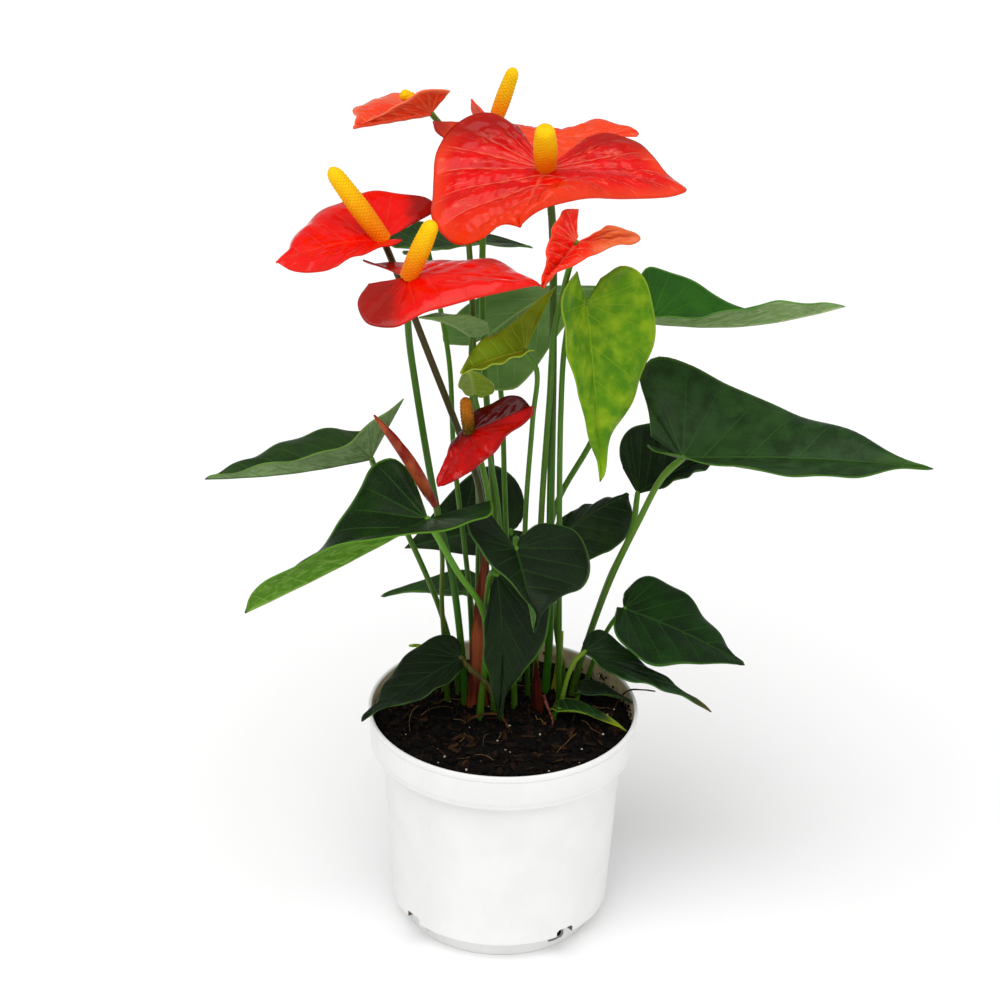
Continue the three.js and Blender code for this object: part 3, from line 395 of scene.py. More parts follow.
# the bud is a spindle from at through bend to tip, on a stalk
BUD = dict(
    stalk=1.1, root=(-25, 15), via=((-28, 12, 150), (-28, 0, 182), (-30, -10, 203)), at=(-31, -15, 214),
    bend=(-43, -21, 240), tip=(-57, -20, 259), radius=2.7,
)

# a sheath wraps round a line from foot to top, at this radius and over this angle each way of its turn
SHEATHS = {
    "sheath_brown": dict(
        foot=(-10, 15), top=(-7, 14, 181), radius=7.5, turn=250, reach=42, colors=("541a0c", "964a28")
    ),
    "sheath_dark_red": dict(
        foot=(17, 11), top=(16, 9, 126), radius=5, turn=250, reach=36, colors=("2c0a04", "501608")
    ),
    "sheath_yellow": dict(
        foot=(23, 25), top=(26, 25, 131), radius=2.5, turn=270, reach=40, colors=("5c6c10", "98a028")
    ),
}

# twigs and roots run through these points, with this radius at their first
TWIGS = {
    "twig_upright": dict(radius=0.6, points=((-42, 24, 93), (-42, 24, 108))),
    "twig_over_rim": dict(radius=0.5, points=((48, 14, 93), (56, 14, 106), (62, 13, 107), (68, 12, 107))),
    "root_pink": dict(
        radius=0.7, points=((18, 5, 108), (20, 2, 104), (22, -2, 99), (22, -3, 93)),
        colors=("5c2820", "9c5848"),
    ),
    "root_arched": dict(radius=0.7, points=((-16, -3, 98), (-9, -4, 103), (-1, -5, 103), (4, -10, 97))),
}

# ---------- what the surfaces look like ----------
# colours as sRGB hex. veins: how many for each stretch of the margin. quilt: how high the fields between
# the veins stand, groove: how deep the midrib lies, wave: how far the margin waves, ripple: how high small
# wrinkles stand, in mm. highlight_streaks: how many pale streaks of painted highlight go round the margin,
# lines: how much they and the veins show. On a spathe the pale vein colour is painted highlight too.
LEAF_LOOKS = {
    "dark": dict(
        upper="0f1f0b", other="1b330f", vein="2c4c1a", edge="3a5f1c", under="33561c", under_vein="64883c",
        roughness=0.4, veins=3.2, quilt=0.45, groove=0.5, wave=0.8,
    ),
    "middle": dict(
        upper="1c3810", other="2a4e18", vein="44702c", edge="50801e", under="426a20", under_vein="7a9c4c",
        roughness=0.4, veins=3.2, quilt=0.4, groove=0.45, wave=0.8,
    ),
    "fresh": dict(
        upper="608c06", other="466806", vein="90b028", edge="a0bc30", under="7c9820", under_vein="a0b44c",
        roughness=0.38, veins=3.0, quilt=0.3, groove=0.35, wave=0.6,
    ),
    "lime": dict(
        upper="457a02", other="5c8c04", vein="7ea018", edge="94b428", under="7c9c34", under_vein="a8c068",
        roughness=0.36, veins=3.3, quilt=0.6, groove=0.5, wave=1.0,
    ),
    "pale": dict(
        upper="4c7830", other="648e44", vein="84a866", edge="86a658", under="7c9c58", under_vein="9cb478",
        roughness=0.4, veins=3.2, quilt=0.4, groove=0.45, wave=0.8,
    ),
}
STALK_COLORS = ("33560f", "4a7a16")  # at the soil and higher up
SPADIX_COLORS = ("ee7c02", "f8c608")  # at the foot and at the end
TWIG_COLORS = ("2c1a0c", "5c3a1c")
SPATHE_LOOKS = {
    "orange": dict(
        upper="ea0e06", other="ee2c0c", vein="f8785a", edge="ee4420", under="dc3c18", under_vein="ec6840",
        lines=0.5, highlight_streaks=44.0, veins=3.0, quilt=1.9, groove=1.0, wave=1.0, ripple=0.6, roughness=0.2,
    ),
    "red": dict(
        upper="e20402", other="ec1808", vein="f04028", edge="dc2010", under="b41c0c", under_vein="d03c20",
        lines=0.2, highlight_streaks=30.0, veins=3.0, quilt=0.5, groove=0.5, wave=0.6, ripple=0.14, roughness=0.2,
    ),
    "dark": dict(
        upper="7c0302", other="a80604", vein="b41810", edge="8c100a", under="640604", under_vein="94180f",
        lines=0.2, highlight_streaks=24.0, veins=2.6, quilt=0.4, groove=0.5, wave=0.8, ripple=0.25, roughness=0.25,
    ),
}


def rgb(text):
    """An sRGB hex colour as Blender's linear one."""
    shares = [int(text[i : i + 2], 16) / 255 for i in (0, 2, 4)]
    return (*[c / 12.92 if c <= 0.04045 else ((c + 0.055) / 1.055) ** 2.4 for c in shares], 1.0)


# ---------- materials ----------
class Shader:
    """A material with one Principled shader and the nodes that feed it. Lengths in its nodes are in mm."""

    def __init__(self, name, **plain):
        self.material = bpy.data.materials.new(name)
        self.material.use_nodes = True
        self.tree = self.material.node_tree
        self.shader = self.tree.nodes["Principled BSDF"]
        for key, value in plain.items():
            self.put(self.shader.inputs[key.replace("_", " ")], value)
        self.place = self.node("TexCoord").outputs["Object"]
        self.place = self.scaled((1 / MM, 1 / MM, 1 / MM))

    def put(self, socket, value):
        if isinstance(value, bpy.types.NodeSocket):
            self.tree.links.new(value, socket)
        else:
            socket.default_value = value

    def node(self, kind, **settings):
        made = self.tree.nodes.new("ShaderNode" + kind)
        for key, value in settings.items():
            setattr(made, key, value)
        return made

    def scaled(self, stretch):
        """The place, with each axis multiplied by its own factor."""
        made = self.node("VectorMath", operation="MULTIPLY")
        self.put(made.inputs[0], self.place)
        made.inputs[1].default_value = stretch
        return made.outputs[0]

    def math(self, operation, first, *others):
        """The operation on the first value and each of the others in turn."""
        for other in others:
            made = self.node("Math", operation=operation)
            self.put(made.inputs[0], first)
            self.put(made.inputs[1], other)
            first = made.outputs[0]
        return first

    def times(self, *values):
        return self.math("MULTIPLY", *values)

    def step(self, value, low, high):
        """0 before low, 1 after high; the other way round when low is the greater."""
        made = self.node("MapRange", interpolation_type="SMOOTHSTEP")
        self.put(made.inputs["Value"], value)
        self.put(made.inputs["From Min"], low)
        self.put(made.inputs["From Max"], high)
        return made.outputs["Result"]

    def mix(self, share, a, b):
        """a where the share is 0, b where it is 1. Both are colours, as sRGB hex or from nodes."""
        made = self.node("Mix", data_type="RGBA")
        for socket, value in zip((made.inputs[0], made.inputs[6], made.inputs[7]), (share, a, b)):
            self.put(socket, rgb(value) if isinstance(value, str) else value)
        return made.outputs[2]

    def cover(self, shade, color, mask, share):
        """The shade under the colour, which shows by that share where the mask is 1."""
        return self.mix(self.times(mask, share), shade, color)

    def texture(self, kind, vector, scale, **settings):
        made = self.node("Tex" + kind)
        self.put(made.inputs["Vector"], vector)
        for key, value in {"Scale": scale, **settings}.items():
            made.inputs[key].default_value = value
        return made

    def noise(self, size, detail=2.0, stretch=(1, 1, 1)):
        """Cloudy noise with features of that size."""
        return self.texture("Noise", self.scaled(stretch), 1 / size, Detail=detail).outputs["Fac"]

    def streaks(self, count):
        """Noise that runs from a blade's midrib to its margin, with that many streaks round the margin."""
        around = self.node("VectorMath", operation="MULTIPLY")
        self.put(around.inputs[0], self.node("UVMap", uv_map="leaf").outputs["UV"])
        around.inputs[1].default_value = (count, 5.0, 1.0)
        return self.texture("Noise", around.outputs[0], 1.0, Detail=4.0, Distortion=1.2).outputs["Fac"]

    def cell_edges(self, size):
        """How far it is to the edges of cells of that size."""
        made = self.texture("Voronoi", self.place, 1 / size)
        made.feature = "DISTANCE_TO_EDGE"
        return made.outputs["Distance"]

    def bump(self, height, depth):
        """height from 0 to 1 stands for that many mm."""
        made = self.node("Bump")
        made.inputs["Distance"].default_value = depth * MM
        self.put(made.inputs["Height"], height)
        self.put(self.shader.inputs["Normal"], made.outputs["Normal"])

    def color(self, value):
        self.put(self.shader.inputs["Base Color"], value)
        return self.material

    def split(self, vector):
        made = self.node("SeparateXYZ")
        self.put(made.inputs[0], vector)
        return made.outputs

    def tinted(self, shade, color, axis, start, full):
        """The colour comes in from start to full on that axis, in mm, along a wavy line."""
        waviness = 8.0
        place = self.math("ADD", self.split(self.place)[axis], self.times(self.noise(6, 3), waviness))
        share = self.step(place, start + waviness / 2, full + waviness / 2)
        return self.cover(shade, color, share, 0.85)

    def pair(self, layer):
        """The two coordinates of one of a blade's maps."""
        return self.split(self.node("UVMap", uv_map=layer).outputs["UV"])[:2]


def vein_nodes(m, veins, thin, wide):
    """(vein lines, midrib, place from midrib to margin, place round the margin) of a blade, as nodes."""
    around, across = m.pair("leaf")
    span_around, span_across = m.pair("span")
    apart = m.math("DIVIDE", m.math("PINGPONG", m.times(around, STRETCHES * veins), 0.5), veins)
    apart = m.times(apart, span_around, SPAN_UNIT)
    width = m.math("ADD", m.times(across, thin - wide), wide)
    line = m.math("SUBTRACT", 1.0, m.step(m.math("DIVIDE", apart, width), 0.25, 1.0))
    line = m.times(line, m.step(across, 0.97, 0.84))
    rib = m.step(m.times(across, span_across, SPAN_UNIT), 1.5 * wide, 0.4 * wide)
    return line, rib, across, around


def face_colors(look, below):
    """(main colour, colour of the patches, colour of the veins)."""
    if below:
        return look["under"], look["upper"], look["under_vein"]
    return look["upper"], look["other"], look["vein"]


def leaf_face(name, look, below):
    """The upper or the lower face of a leaf."""
    m = Shader(
        name, Roughness=look["roughness"] + (0.12 if below else 0.0), Specular_IOR_Level=0.12,
        Coat_Weight=0.0 if below else 0.03, Coat_Roughness=0.2,
    )
    line, rib, across, around = vein_nodes(m, look["veins"], 0.25, 0.8)
    main, second, vein = face_colors(look, below)
    # cloudy patches of the second colour: tone that varies, and painted sheen on leaf_large_right
    shade = m.mix(m.times(m.step(m.noise(14, 3), 0.35, 0.7), 0.25 if below else 0.8), main, second)
    if below:
        shade = m.cover(shade, vein, m.step(m.streaks(26.0), 0.42, 0.7), 0.5)
    fine = m.step(m.cell_edges(1.6), 0.0, 0.12)
    shade = m.cover(shade, vein, m.math("SUBTRACT", 1.0, fine), 0.12)
    shade = m.mix(m.math("MAXIMUM", m.times(line, 0.4), m.times(rib, 0.7)), shade, vein)
    # mottles: real ones on the lime leaf, painted sheen on leaf_large_right
    if "mottle_and_sheen" in look and not below:
        shade = m.cover(shade, look["mottle_and_sheen"], m.step(m.noise(7, 9), 0.36, 0.78), 0.8)
    if "tip" in look:
        shade = m.cover(shade, look["tip"], m.step(around, 0.84, 1.0), 0.8)
    shade = m.cover(shade, look["edge"], m.step(across, 0.955, 0.995), 0.8)
    raised = m.times(m.math("MAXIMUM", line, rib), 0.5 if below else -0.5)
    m.bump(m.math("ADD", raised, 0.5, m.times(fine, 0.25)), 0.25)
    return m.color(shade)


def spathe_face(name, look, below):
    """The upper or the lower face of a spathe."""
    m = Shader(
        name, Roughness=look["roughness"] + (0.15 if below else 0.0), Specular_IOR_Level=0.08,
        Coat_Weight=0.05 if below else 0.25, Coat_Roughness=0.12,
    )
    line, rib, across, _ = vein_nodes(m, look["veins"], 0.4, 0.9)
    main, second, vein = face_colors(look, below)
    shade = m.mix(m.times(m.step(m.noise(9, 3), 0.35, 0.65), 0.6), main, second)
    # pale vein colour along the veins and the midrib: painted highlights
    shade = m.mix(m.math("MAXIMUM", m.times(line, look["lines"]), m.times(rib, 0.3)), shade, vein)
    # pale streaks round the margin: painted highlights on the wrinkles
    shade = m.cover(shade, vein, m.step(m.streaks(look["highlight_streaks"]), 0.56, 0.7), look["lines"])
    shade = m.cover(shade, look["edge"], m.step(across, 0.8, 1.0), 0.75)
    for tint in look.get("tints", ()):
        shade = m.tinted(shade, *tint)
    height = m.math("SUBTRACT", 1.0, m.times(line, 0.6))
    m.bump(m.math("ADD", height, m.times(m.noise(1.6), 0.5)), 0.3)
    return m.color(shade)


def stalk_skin(name, low, high, joint):
    """A stalk's colour goes from low at the soil to high, and to joint in its last centimetres."""
    m = Shader(name, Roughness=0.38, Specular_IOR_Level=0.2)
    along, _ = m.pair("leaf")
    streak = m.noise(1.2, stretch=(1, 1, 0.06))
    shade = m.mix(m.step(along, 0.05, 0.9), low, high)
    shade = m.cover(shade, joint, m.step(streak, 0.4, 0.7), 0.3)
    shade = m.cover(shade, joint, m.step(along, 0.9, 0.97), 0.5)
    m.bump(streak, 0.12)
    return m.color(shade)


def plain_skin(name, first, second, size, roughness, depth, stretch=(1, 1, 1), coat=0.0):
    """Two colours in noisy patches, with bumps of a third of their size."""
    m = Shader(name, Roughness=roughness, Coat_Weight=coat, Specular_IOR_Level=0.15)
    shade = m.mix(m.step(m.noise(size, 4, stretch), 0.35, 0.65), first, second)
    m.bump(m.noise(size / 3, 4, stretch), depth)
    return m.color(shade)


# ---------- meshes ----------
class Form:
    """A mesh in the making: vertices in mm, faces with a material's number and two maps."""

    def __init__(self):
        self.places = []
        self.faces = []
        self.kinds = []
        self.leaf = []
        self.span = []

    def add(self, places, faces, kind=0, leaf=None, span=None):
        """leaf and span hold one pair for each corner of each face."""
        first = len(self.places)
        self.places.extend(map(tuple, places))
        for n, face in enumerate(faces):
            self.faces.append([first + k for k in face])
            self.kinds.append(kind)
            self.leaf.append(leaf[n] if leaf else [(0.5, 0.5)] * len(face))
            self.span.append(span[n] if span else [(0.0, 0.0)] * len(face))

    def piece(self, name, materials, slot, *nodes):
        """The finished piece, which stands for those CAD nodes."""
        mesh = bpy.data.meshes.new(name)
        mesh.from_pydata([[MM * c for c in place] for place in self.places], [], self.faces)
        mesh.polygons.foreach_set("use_smooth", [True] * len(self.faces))
        mesh.polygons.foreach_set("material_index", self.kinds)
        for layer, values in (("leaf", self.leaf), ("span", self.span)):
            made = mesh.uv_layers.new(name=layer)
            flat = [c for face in values for pair in face for c in pair]
            made.data.foreach_set("uv", flat)
        mesh.validate()
        for material in materials:
            mesh.materials.append(material)
        return register(bpy.data.objects.new(name, mesh), slot, *nodes)


def register(piece, slot, *nodes):
    """The piece joins the scene, rides on the part and stands for those CAD nodes."""
    bpy.context.scene.collection.objects.link(piece)
    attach(piece, "root")
    if nodes:
        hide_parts(*nodes)
    return piece


def mark_sharp(mesh, degrees):
    """Edges that turn by more than that many degrees are shown sharp."""
    work = bmesh.new()
    work.from_mesh(mesh)
    for edge in work.edges:
        if len(edge.link_faces) == 2 and edge.calc_face_angle() > math.radians(degrees):
            edge.smooth = False
    work.to_mesh(mesh)
    work.free()


def smooth_line(points, step):
    """Points along the centripetal Catmull-Rom curve through these, about step apart."""
    p = np.array(points, float)
    p = np.vstack([2 * p[0] - p[1], p, 2 * p[-1] - p[-2]])
    line = [p[1]]
    for i in range(1, len(p) - 2):
        a, b, c = (math.sqrt(np.linalg.norm(p[i + k] - p[i + k - 1])) for k in (0, 1, 2))
        start = ((p[i] - p[i - 1]) / a - (p[i + 1] - p[i - 1]) / (a + b) + (p[i + 1] - p[i]) / b) * b
        end = ((p[i + 1] - p[i]) / b - (p[i + 2] - p[i]) / (b + c) + (p[i + 2] - p[i + 1]) / c) * b
        count = max(2, round(np.linalg.norm(p[i + 1] - p[i]) / step))
        for k in range(1, count + 1):
            t = k / count
            line.append(
                (2 * t**3 - 3 * t**2 + 1) * p[i] + (t**3 - 2 * t**2 + t) * start
                + (3 * t**2 - 2 * t**3) * p[i + 1] + (t**3 - t**2) * end
            )
    return np.array(line)


def turning_frames(line):
    """Two unit vectors across the line at each of its points, turning as little as they can."""
    ahead = np.gradient(line, axis=0)
    ahead /= np.linalg.norm(ahead, axis=1)[:, None]
    first = np.cross(ahead[0], (0.3, 1.0, 0.2))
    sides = []
    for way in ahead:
        first = first - way * (first @ way)
        first = first / np.linalg.norm(first)
        sides.append((first, np.cross(way, first)))
    return sides


def ring_faces(rings, sides, first=0):
    """The faces between rings of vertices, and how far along and round their corners are, from 0 to 1."""
    faces, leaf = [], []
    for i in range(rings - 1):
        a, b = first + i * sides, first + (i + 1) * sides
        low, high = i / (rings - 1), (i + 1) / (rings - 1)
        for j in range(sides):
            k = (j + 1) % sides
            left, right = j / sides, (j + 1) / sides
            faces.append((a + j, a + k, b + k, b + j))
            leaf.append(((low, left), (low, right), (high, right), (high, left)))
    return faces, leaf


def add_body(form, low, rings, high, sides, kind=0):
    """A body from rings of places one after the other, closed by a fan to one place at each end."""
    top = len(rings) + 1
    last = top - sides
    faces = [(0, 1 + (j + 1) % sides, 1 + j) for j in range(sides)]
    faces += ring_faces(len(rings) // sides, sides, 1)[0]
    faces += [(last + j, last + (j + 1) % sides, top) for j in range(sides)]
    form.add([low, *rings, high], faces, kind)


def vertex_normals(places, faces):
    normals = np.zeros_like(places)
    for face in faces:
        a, b, c, d = (places[face[n]] for n in (0, 1, 2, -1))
        normal = np.cross(b - a, c - a) + np.cross(c - a, d - a)
        for k in face:
            normals[k] += normal
    return normals / np.maximum(np.linalg.norm(normals, axis=1), 1e-9)[:, None]


def add_shell(form, places, faces, thickness, under=0, leaf=None, span=None):
    """A closed shell round a sheet: the upper side and the rim are kind 0, the lower side is `under`."""
    leaf = leaf or [[(0.5, 0.5)] * len(face) for face in faces]
    span = span or [[(0.0, 0.0)] * len(face) for face in faces]
    half = vertex_normals(places, faces) * thickness / 2
    upper = len(form.places)
    lower = upper + len(places)
    form.add(places + half, faces, 0, leaf, span)
    turned_over = [[row[::-1] for row in rows] for rows in (faces, leaf, span)]
    form.add(places - half, turned_over[0], under, *turned_over[1:])
    edges = {}
    for face, pairs in zip(faces, leaf):
        for n in range(len(face)):
            edges[face[n - 1], face[n]] = (pairs[n - 1], pairs[n])
    for (a, b), (start, end) in edges.items():
        if (b, a) not in edges:
            form.faces.append([upper + a, lower + a, lower + b, upper + b])
            form.kinds.append(0)
            form.leaf.append([start, start, end, end])
            form.span.append([RIM_SPAN] * 4)


def tube(form, line, radii, sides, kind=0, round_end=True, shape=None):
    """A tube along the line. shape(i, angle) may change the radius from place to place."""
    frames = turning_frames(line)
    rings = list(zip(line, radii, frames))
    if round_end:
        way = line[-1] - line[-2]
        way = way / np.linalg.norm(way)
        for turn in map(math.radians, (30, 60, 80)):
            point = line[-1] + way * radii[-1] * math.sin(turn)
            rings.append((point, radii[-1] * math.cos(turn), frames[-1]))
    places = []
    for i, (point, radius, (u, w)) in enumerate(rings):
        for j in range(sides):
            angle = 2 * math.pi * j / sides
            r = radius * (shape(i, angle) if shape else 1.0)
            places.append(point + r * (u * math.cos(angle) + w * math.sin(angle)))
    faces, leaf = ring_faces(len(rings), sides)
    faces.append(tuple(range(sides - 1, -1, -1)))
    leaf.append([(0.0, 0.0)] * sides)
    faces.append(tuple(range(len(places) - sides, len(places))))
    leaf.append([(1.0, 0.0)] * sides)
    form.add(places, faces, kind, leaf)


# ---------- the blade: a heart-shaped leaf or spathe ----------
def bezier(p0, p1, p2, p3, t):
    q = 1 - t
    return [q**3 * a + 3 * q * q * t * b + 3 * q * t * t * c + t**3 * d for a, b, c, d in zip(p0, p1, p2, p3)]


def margin(length, width, lobe, fullness, s):
    """A half's outline: s runs 0..1 round the lobe, 1..2 to the widest place, 2..3 to the tip."""
    rear = (-lobe, 0.5 * width)
    wide = ((0.02 + 0.06 * fullness) * length, width)
    if s <= 1:
        return bezier((0, 0), (-0.5 * lobe, 0.03 * width), (-lobe, 0.16 * width), rear, s)
    if s <= 2:
        return bezier(rear, (-lobe, 0.74 * width), (wide[0] - 0.36 * (lobe + wide[0]), width), wide, s - 1)
    front = ((0.22 + 0.26 * fullness) * length, width)
    last = ((0.6 + 0.16 * fullness) * length, (0.35 - 0.1 * fullness) * width)
    return bezier(wide, front, last, (length, 0), s - 2)


class Blade:
    """The curved sheet of a leaf or a spathe."""

    def __init__(self, spec):
        self.spec = spec
        self.at = np.array(spec["at"], float)
        reach = np.array(spec["tip"], float) - self.at
        self.length = np.linalg.norm(reach)
        self.forward = reach / self.length
        level = np.array([-self.forward[1], self.forward[0], 0.0])
        self.level = level / np.linalg.norm(level)
        self.up = np.cross(self.forward, self.level)

    def rib(self, x):
        """The places on the midrib that far from the stalk."""
        spec, length = self.spec, self.length
        u = x / length
        bump = np.where(u > 0, np.sin(np.pi * u), LOBE_SLOPE * np.pi * u)
        parts = ((x, self.forward), (spec["arch"] * length * bump, self.up),
                 (spec.get("sway", 0) * length * bump, self.level))
        return self.at + sum(amount[..., None] * way for amount, way in parts)

    def heart(self, side, s, v):
        """The places of one half of a heart-shaped blade: side 1 is left, -1 right."""
        spec, half = self.spec, 0 if side > 0 else 1
        fullness = spec.get("fullness", FULLNESS)
        width = spec["half"][half]
        edge = np.array([margin(self.length, width, spec["lobe"][half], fullness, t) for t in s])
        start = self.vein_start(s)
        x = start[:, None] + (edge[:, :1] - start[:, None]) * v
        y = edge[:, 1:] * v
        raised = spec["left"] if side > 0 else spec["right"]
        turn = raised[0] + (raised[1] - raised[0]) * np.clip(x / self.length, 0, 1)
        turn = np.radians(turn + CURL * y / width)
        out = (side * y * np.cos(turn))[..., None] * self.level + (y * np.sin(turn))[..., None] * self.up
        return self.rib(x) + out

    def drawn(self, side, s, v):
        """The places of one half of a blade whose margin goes through given places."""
        half = 0 if side > 0 else 1
        line = smooth_line([*self.spec["edge"][half], self.spec["tip"]], 0.4)
        reach = np.append(0, np.cumsum(np.linalg.norm(np.diff(line, axis=0), axis=1)))
        share = s / STRETCHES
        edge = np.stack([np.interp(share * reach[-1], reach, line[:, c]) for c in range(3)], 1)
        rib = self.rib(self.vein_start(s))
        swell = self.spec.get("dome", DOME)[half] * np.outer(np.sin(np.pi * share**2), np.sin(np.pi * v**2))
        return rib[:, None] + (edge - rib)[:, None] * v[:, None] + swell[..., None] * self.up

    def vein_start(self, s):
        """How far along the midrib the vein of row s begins."""
        return self.length * np.maximum(0, (s - FIRST_VEIN) / (STRETCHES - FIRST_VEIN)) ** 1.1

    def half(self, side, rows, columns):
        """(places, s of each row, v of each column, mm for one step of s, mm for one step of v)."""
        v = np.linspace(0, 1, columns + 1)
        if "edge" in self.spec:
            s = np.linspace(0, STRETCHES, sum(rows) + 1)
            places = self.drawn(side, s, v)
        else:
            s = np.concatenate([[0.0], *[k + np.arange(1, n + 1) / n for k, n in enumerate(rows)]])
            places = self.heart(side, s, v)
        along = np.linalg.norm(np.gradient(places, s, axis=0), axis=2)
        across = np.linalg.norm(np.gradient(places, v, axis=1), axis=2)
        return places, s, v, along, across


def relief(look, s, v, along, across, side, phase):
    """How far the sheet's surface stands above its smooth form, in mm."""
    veins = look["veins"]
    s, v = s[:, None], v[None, :]
    # the quilted fields between the veins: lower where they are narrow, at the midrib and at the margin
    room = np.clip(along / veins / FULL_FIELD, 0, 1)
    field = 0.5 - 0.5 * np.cos(2 * np.pi * s * veins)
    height = look["quilt"] * room * field**0.7 * np.sin(np.pi * np.clip(0.06 + 0.92 * v, 0, 1)) ** 0.7
    # the small folds across each field, at other places than in the next field
    number = np.floor(s * veins + 0.5)
    crossing = np.abs(np.sin(v * across / PUCKER + 1.9 * number + 0.8 * np.sin(3 * s)))
    height = height * (0.72 + 0.28 * crossing**0.6)
    # the groove over the midrib, the waves of the margin and the fine wrinkles
    height = height - look["groove"] * np.exp(-((v * across / SEAM) ** 2)) * (s > 0.3)
    height = height + look["wave"] * np.sin(2 * np.pi * (1.3 * s + phase + 0.2 * side)) * v**3
    wrinkle = np.sin(v * across / WRINKLE + 2.5 * np.sin(5 * s + phase)) * np.sin(2 * np.pi * s * veins)
    height = height + look.get("ripple", RIPPLE) * room * wrinkle * np.sin(np.pi * v)
    return height * np.clip(along / FULL_RELIEF, 0, 1)


def blade(form, spec, look, thickness, rows, columns, phase):
    """Adds a blade: upper face kind 0, lower face kind 1. Places that coincide become one vertex."""
    sheet = Blade(spec)
    places, heights, index = [], [], {}
    faces, leaf, span = [], [], []
    for side in (1, -1):
        grid, s, v, along, across = sheet.half(side, rows, columns)
        height = relief(look, s, v, along, across, side, phase)
        number = np.zeros(grid.shape[:2], int)
        for i in range(len(s)):
            for j in range(len(v)):
                key = tuple(np.round(grid[i, j], 3) + 0.0)
                if key not in index:
                    index[key] = len(places)
                    places.append(grid[i, j])
                    heights.append(height[i, j])
                number[i, j] = index[key]
        for i in range(1, len(s)):
            for j in range(1, len(v)):
                corners = ((i - 1, j - 1), (i - 1, j), (i, j), (i, j - 1))
                corners = corners if side < 0 else corners[::-1]
                kept = [c for n, c in enumerate(corners) if number[c] != number[corners[n - 1]]]
                if len(kept) < 3 or len({number[c] for c in kept}) < len(kept):
                    continue
                faces.append([number[c] for c in kept])
                leaf.append([(s[a] / STRETCHES, v[b]) for a, b in kept])
                span.append([(along[c] / SPAN_UNIT, across[c] / SPAN_UNIT) for c in kept])
    places = np.array(places)
    places = places + vertex_normals(places, faces) * np.array(heights)[:, None]
    add_shell(form, places, faces, thickness, 1, leaf, span)


def stalk_line(spec):
    """The stalk's middle line, from deep in the filling to the blade."""
    x, y = spec["root"]
    low = SOIL["level"] - SOIL["sink"] + CLEAR
    straight = [(x, y, low), (x, y, SOIL["level"] - BURIED), (x, y, SOIL["level"] + BURIED)]
    return smooth_line([*straight, *spec["via"], spec["at"]], 4)


def stalk(form, spec, kind, joint=True):
    """Adds the stalk; joint: it swells a little just below the blade."""
    line = stalk_line(spec)
    left = np.array([np.linalg.norm(line[i:][1:] - line[i:][:-1], axis=1).sum() for i in range(len(line))])
    radii = np.full(len(line), float(spec["stalk"]))
    radii *= 1 + STALK["foot_swell"] * np.exp(-((line[:, 2] - SOIL["level"]) / STALK["foot_reach"]) ** 2)
    if joint:
        place = (left - STALK["joint_at"]) / STALK["joint_reach"]
        radii *= 1 + STALK["joint_swell"] * np.exp(-(place**2))
    radii *= 1 - STALK["taper"] * (1 - left / left[0])
    tube(form, line, radii, STALK["sides"], kind)


# ---------- spadices, bud, sheaths and twigs ----------
def spadix(form, spec):
    """A club set all over with small pointed florets in staggered rows."""
    base = np.array(spec["spadix"].get("base", spec["at"]), float)
    top = np.array(spec["spadix"]["top"], float)
    length = np.linalg.norm(top - base)
    way = (top - base) / length
    turn = Vector((0, 0, 1)).rotation_difference(Vector(way)).to_matrix()
    radius = spec["spadix"]["radius"]
    around = max(4, round(math.pi * radius / FLORET_WIDTH))
    sides, rings = around * FLORET_SIDES, round(length / FLORET_RING)
    places = []
    for i in range(rings + 1):
        t = i / rings
        close = math.sqrt(max(0.0, 1 - max(0.0, (t - 1 + SPADIX_CAP) / SPADIX_CAP) ** 2))
        r = radius * (0.84 + 0.14 * math.sin(1.2 * math.pi * t)) * close
        for j in range(sides):
            angle = 2 * math.pi * j / sides
            z = t * length
            peak = max(0.0, math.cos(around * angle) * math.cos(math.pi * z / FLORET)) ** 0.6
            out = r + 0.24 * peak * min(1.0, r / 1.5)
            local = Vector((out * math.cos(angle), out * math.sin(angle), z - 0.3 * peak * (1 - close)))
            places.append(base + np.array(turn @ local))
    faces, leaf = ring_faces(rings + 1, sides)
    faces.append(tuple(range(sides - 1, -1, -1)))
    leaf.append([(0.0, 0.0)] * sides)
    form.add(places, faces, 0, leaf)


def spadix_skin(name, low, high):
    """Orange to yellow, with paler floret tips."""
    m = Shader(name, Roughness=0.6, Specular_IOR_Level=0.1)
    along, _ = m.pair("leaf")
    along = m.math("ADD", along, m.times(m.noise(5), 0.25))
    shade = m.mix(m.step(along, 0.2, 1.0), low, high)
    shade = m.cover(shade, "fce048", m.step(m.noise(0.7), 0.55, 0.75), 0.3)
    m.bump(m.noise(0.4), 0.1)
    return m.color(shade)


def bud(form):
    """The rolled bud: a bent spindle with the spathe's free edge winding round it."""
    line = smooth_line([BUD["at"], BUD["bend"], BUD["tip"]], 0.8)
    t = np.linspace(0, 1, len(line))
    radii = BUD["radius"] * np.sin(np.pi * (0.17 + 0.79 * t)) ** 0.8

    def furl(i, angle):
        turned = (angle - 5.0 * min(i, len(line) - 1) / len(line)) % (2 * math.pi)
        return 0.92 + 0.16 * (turned / (2 * math.pi))

    tube(form, line, radii, BUD_SIDES, shape=furl)


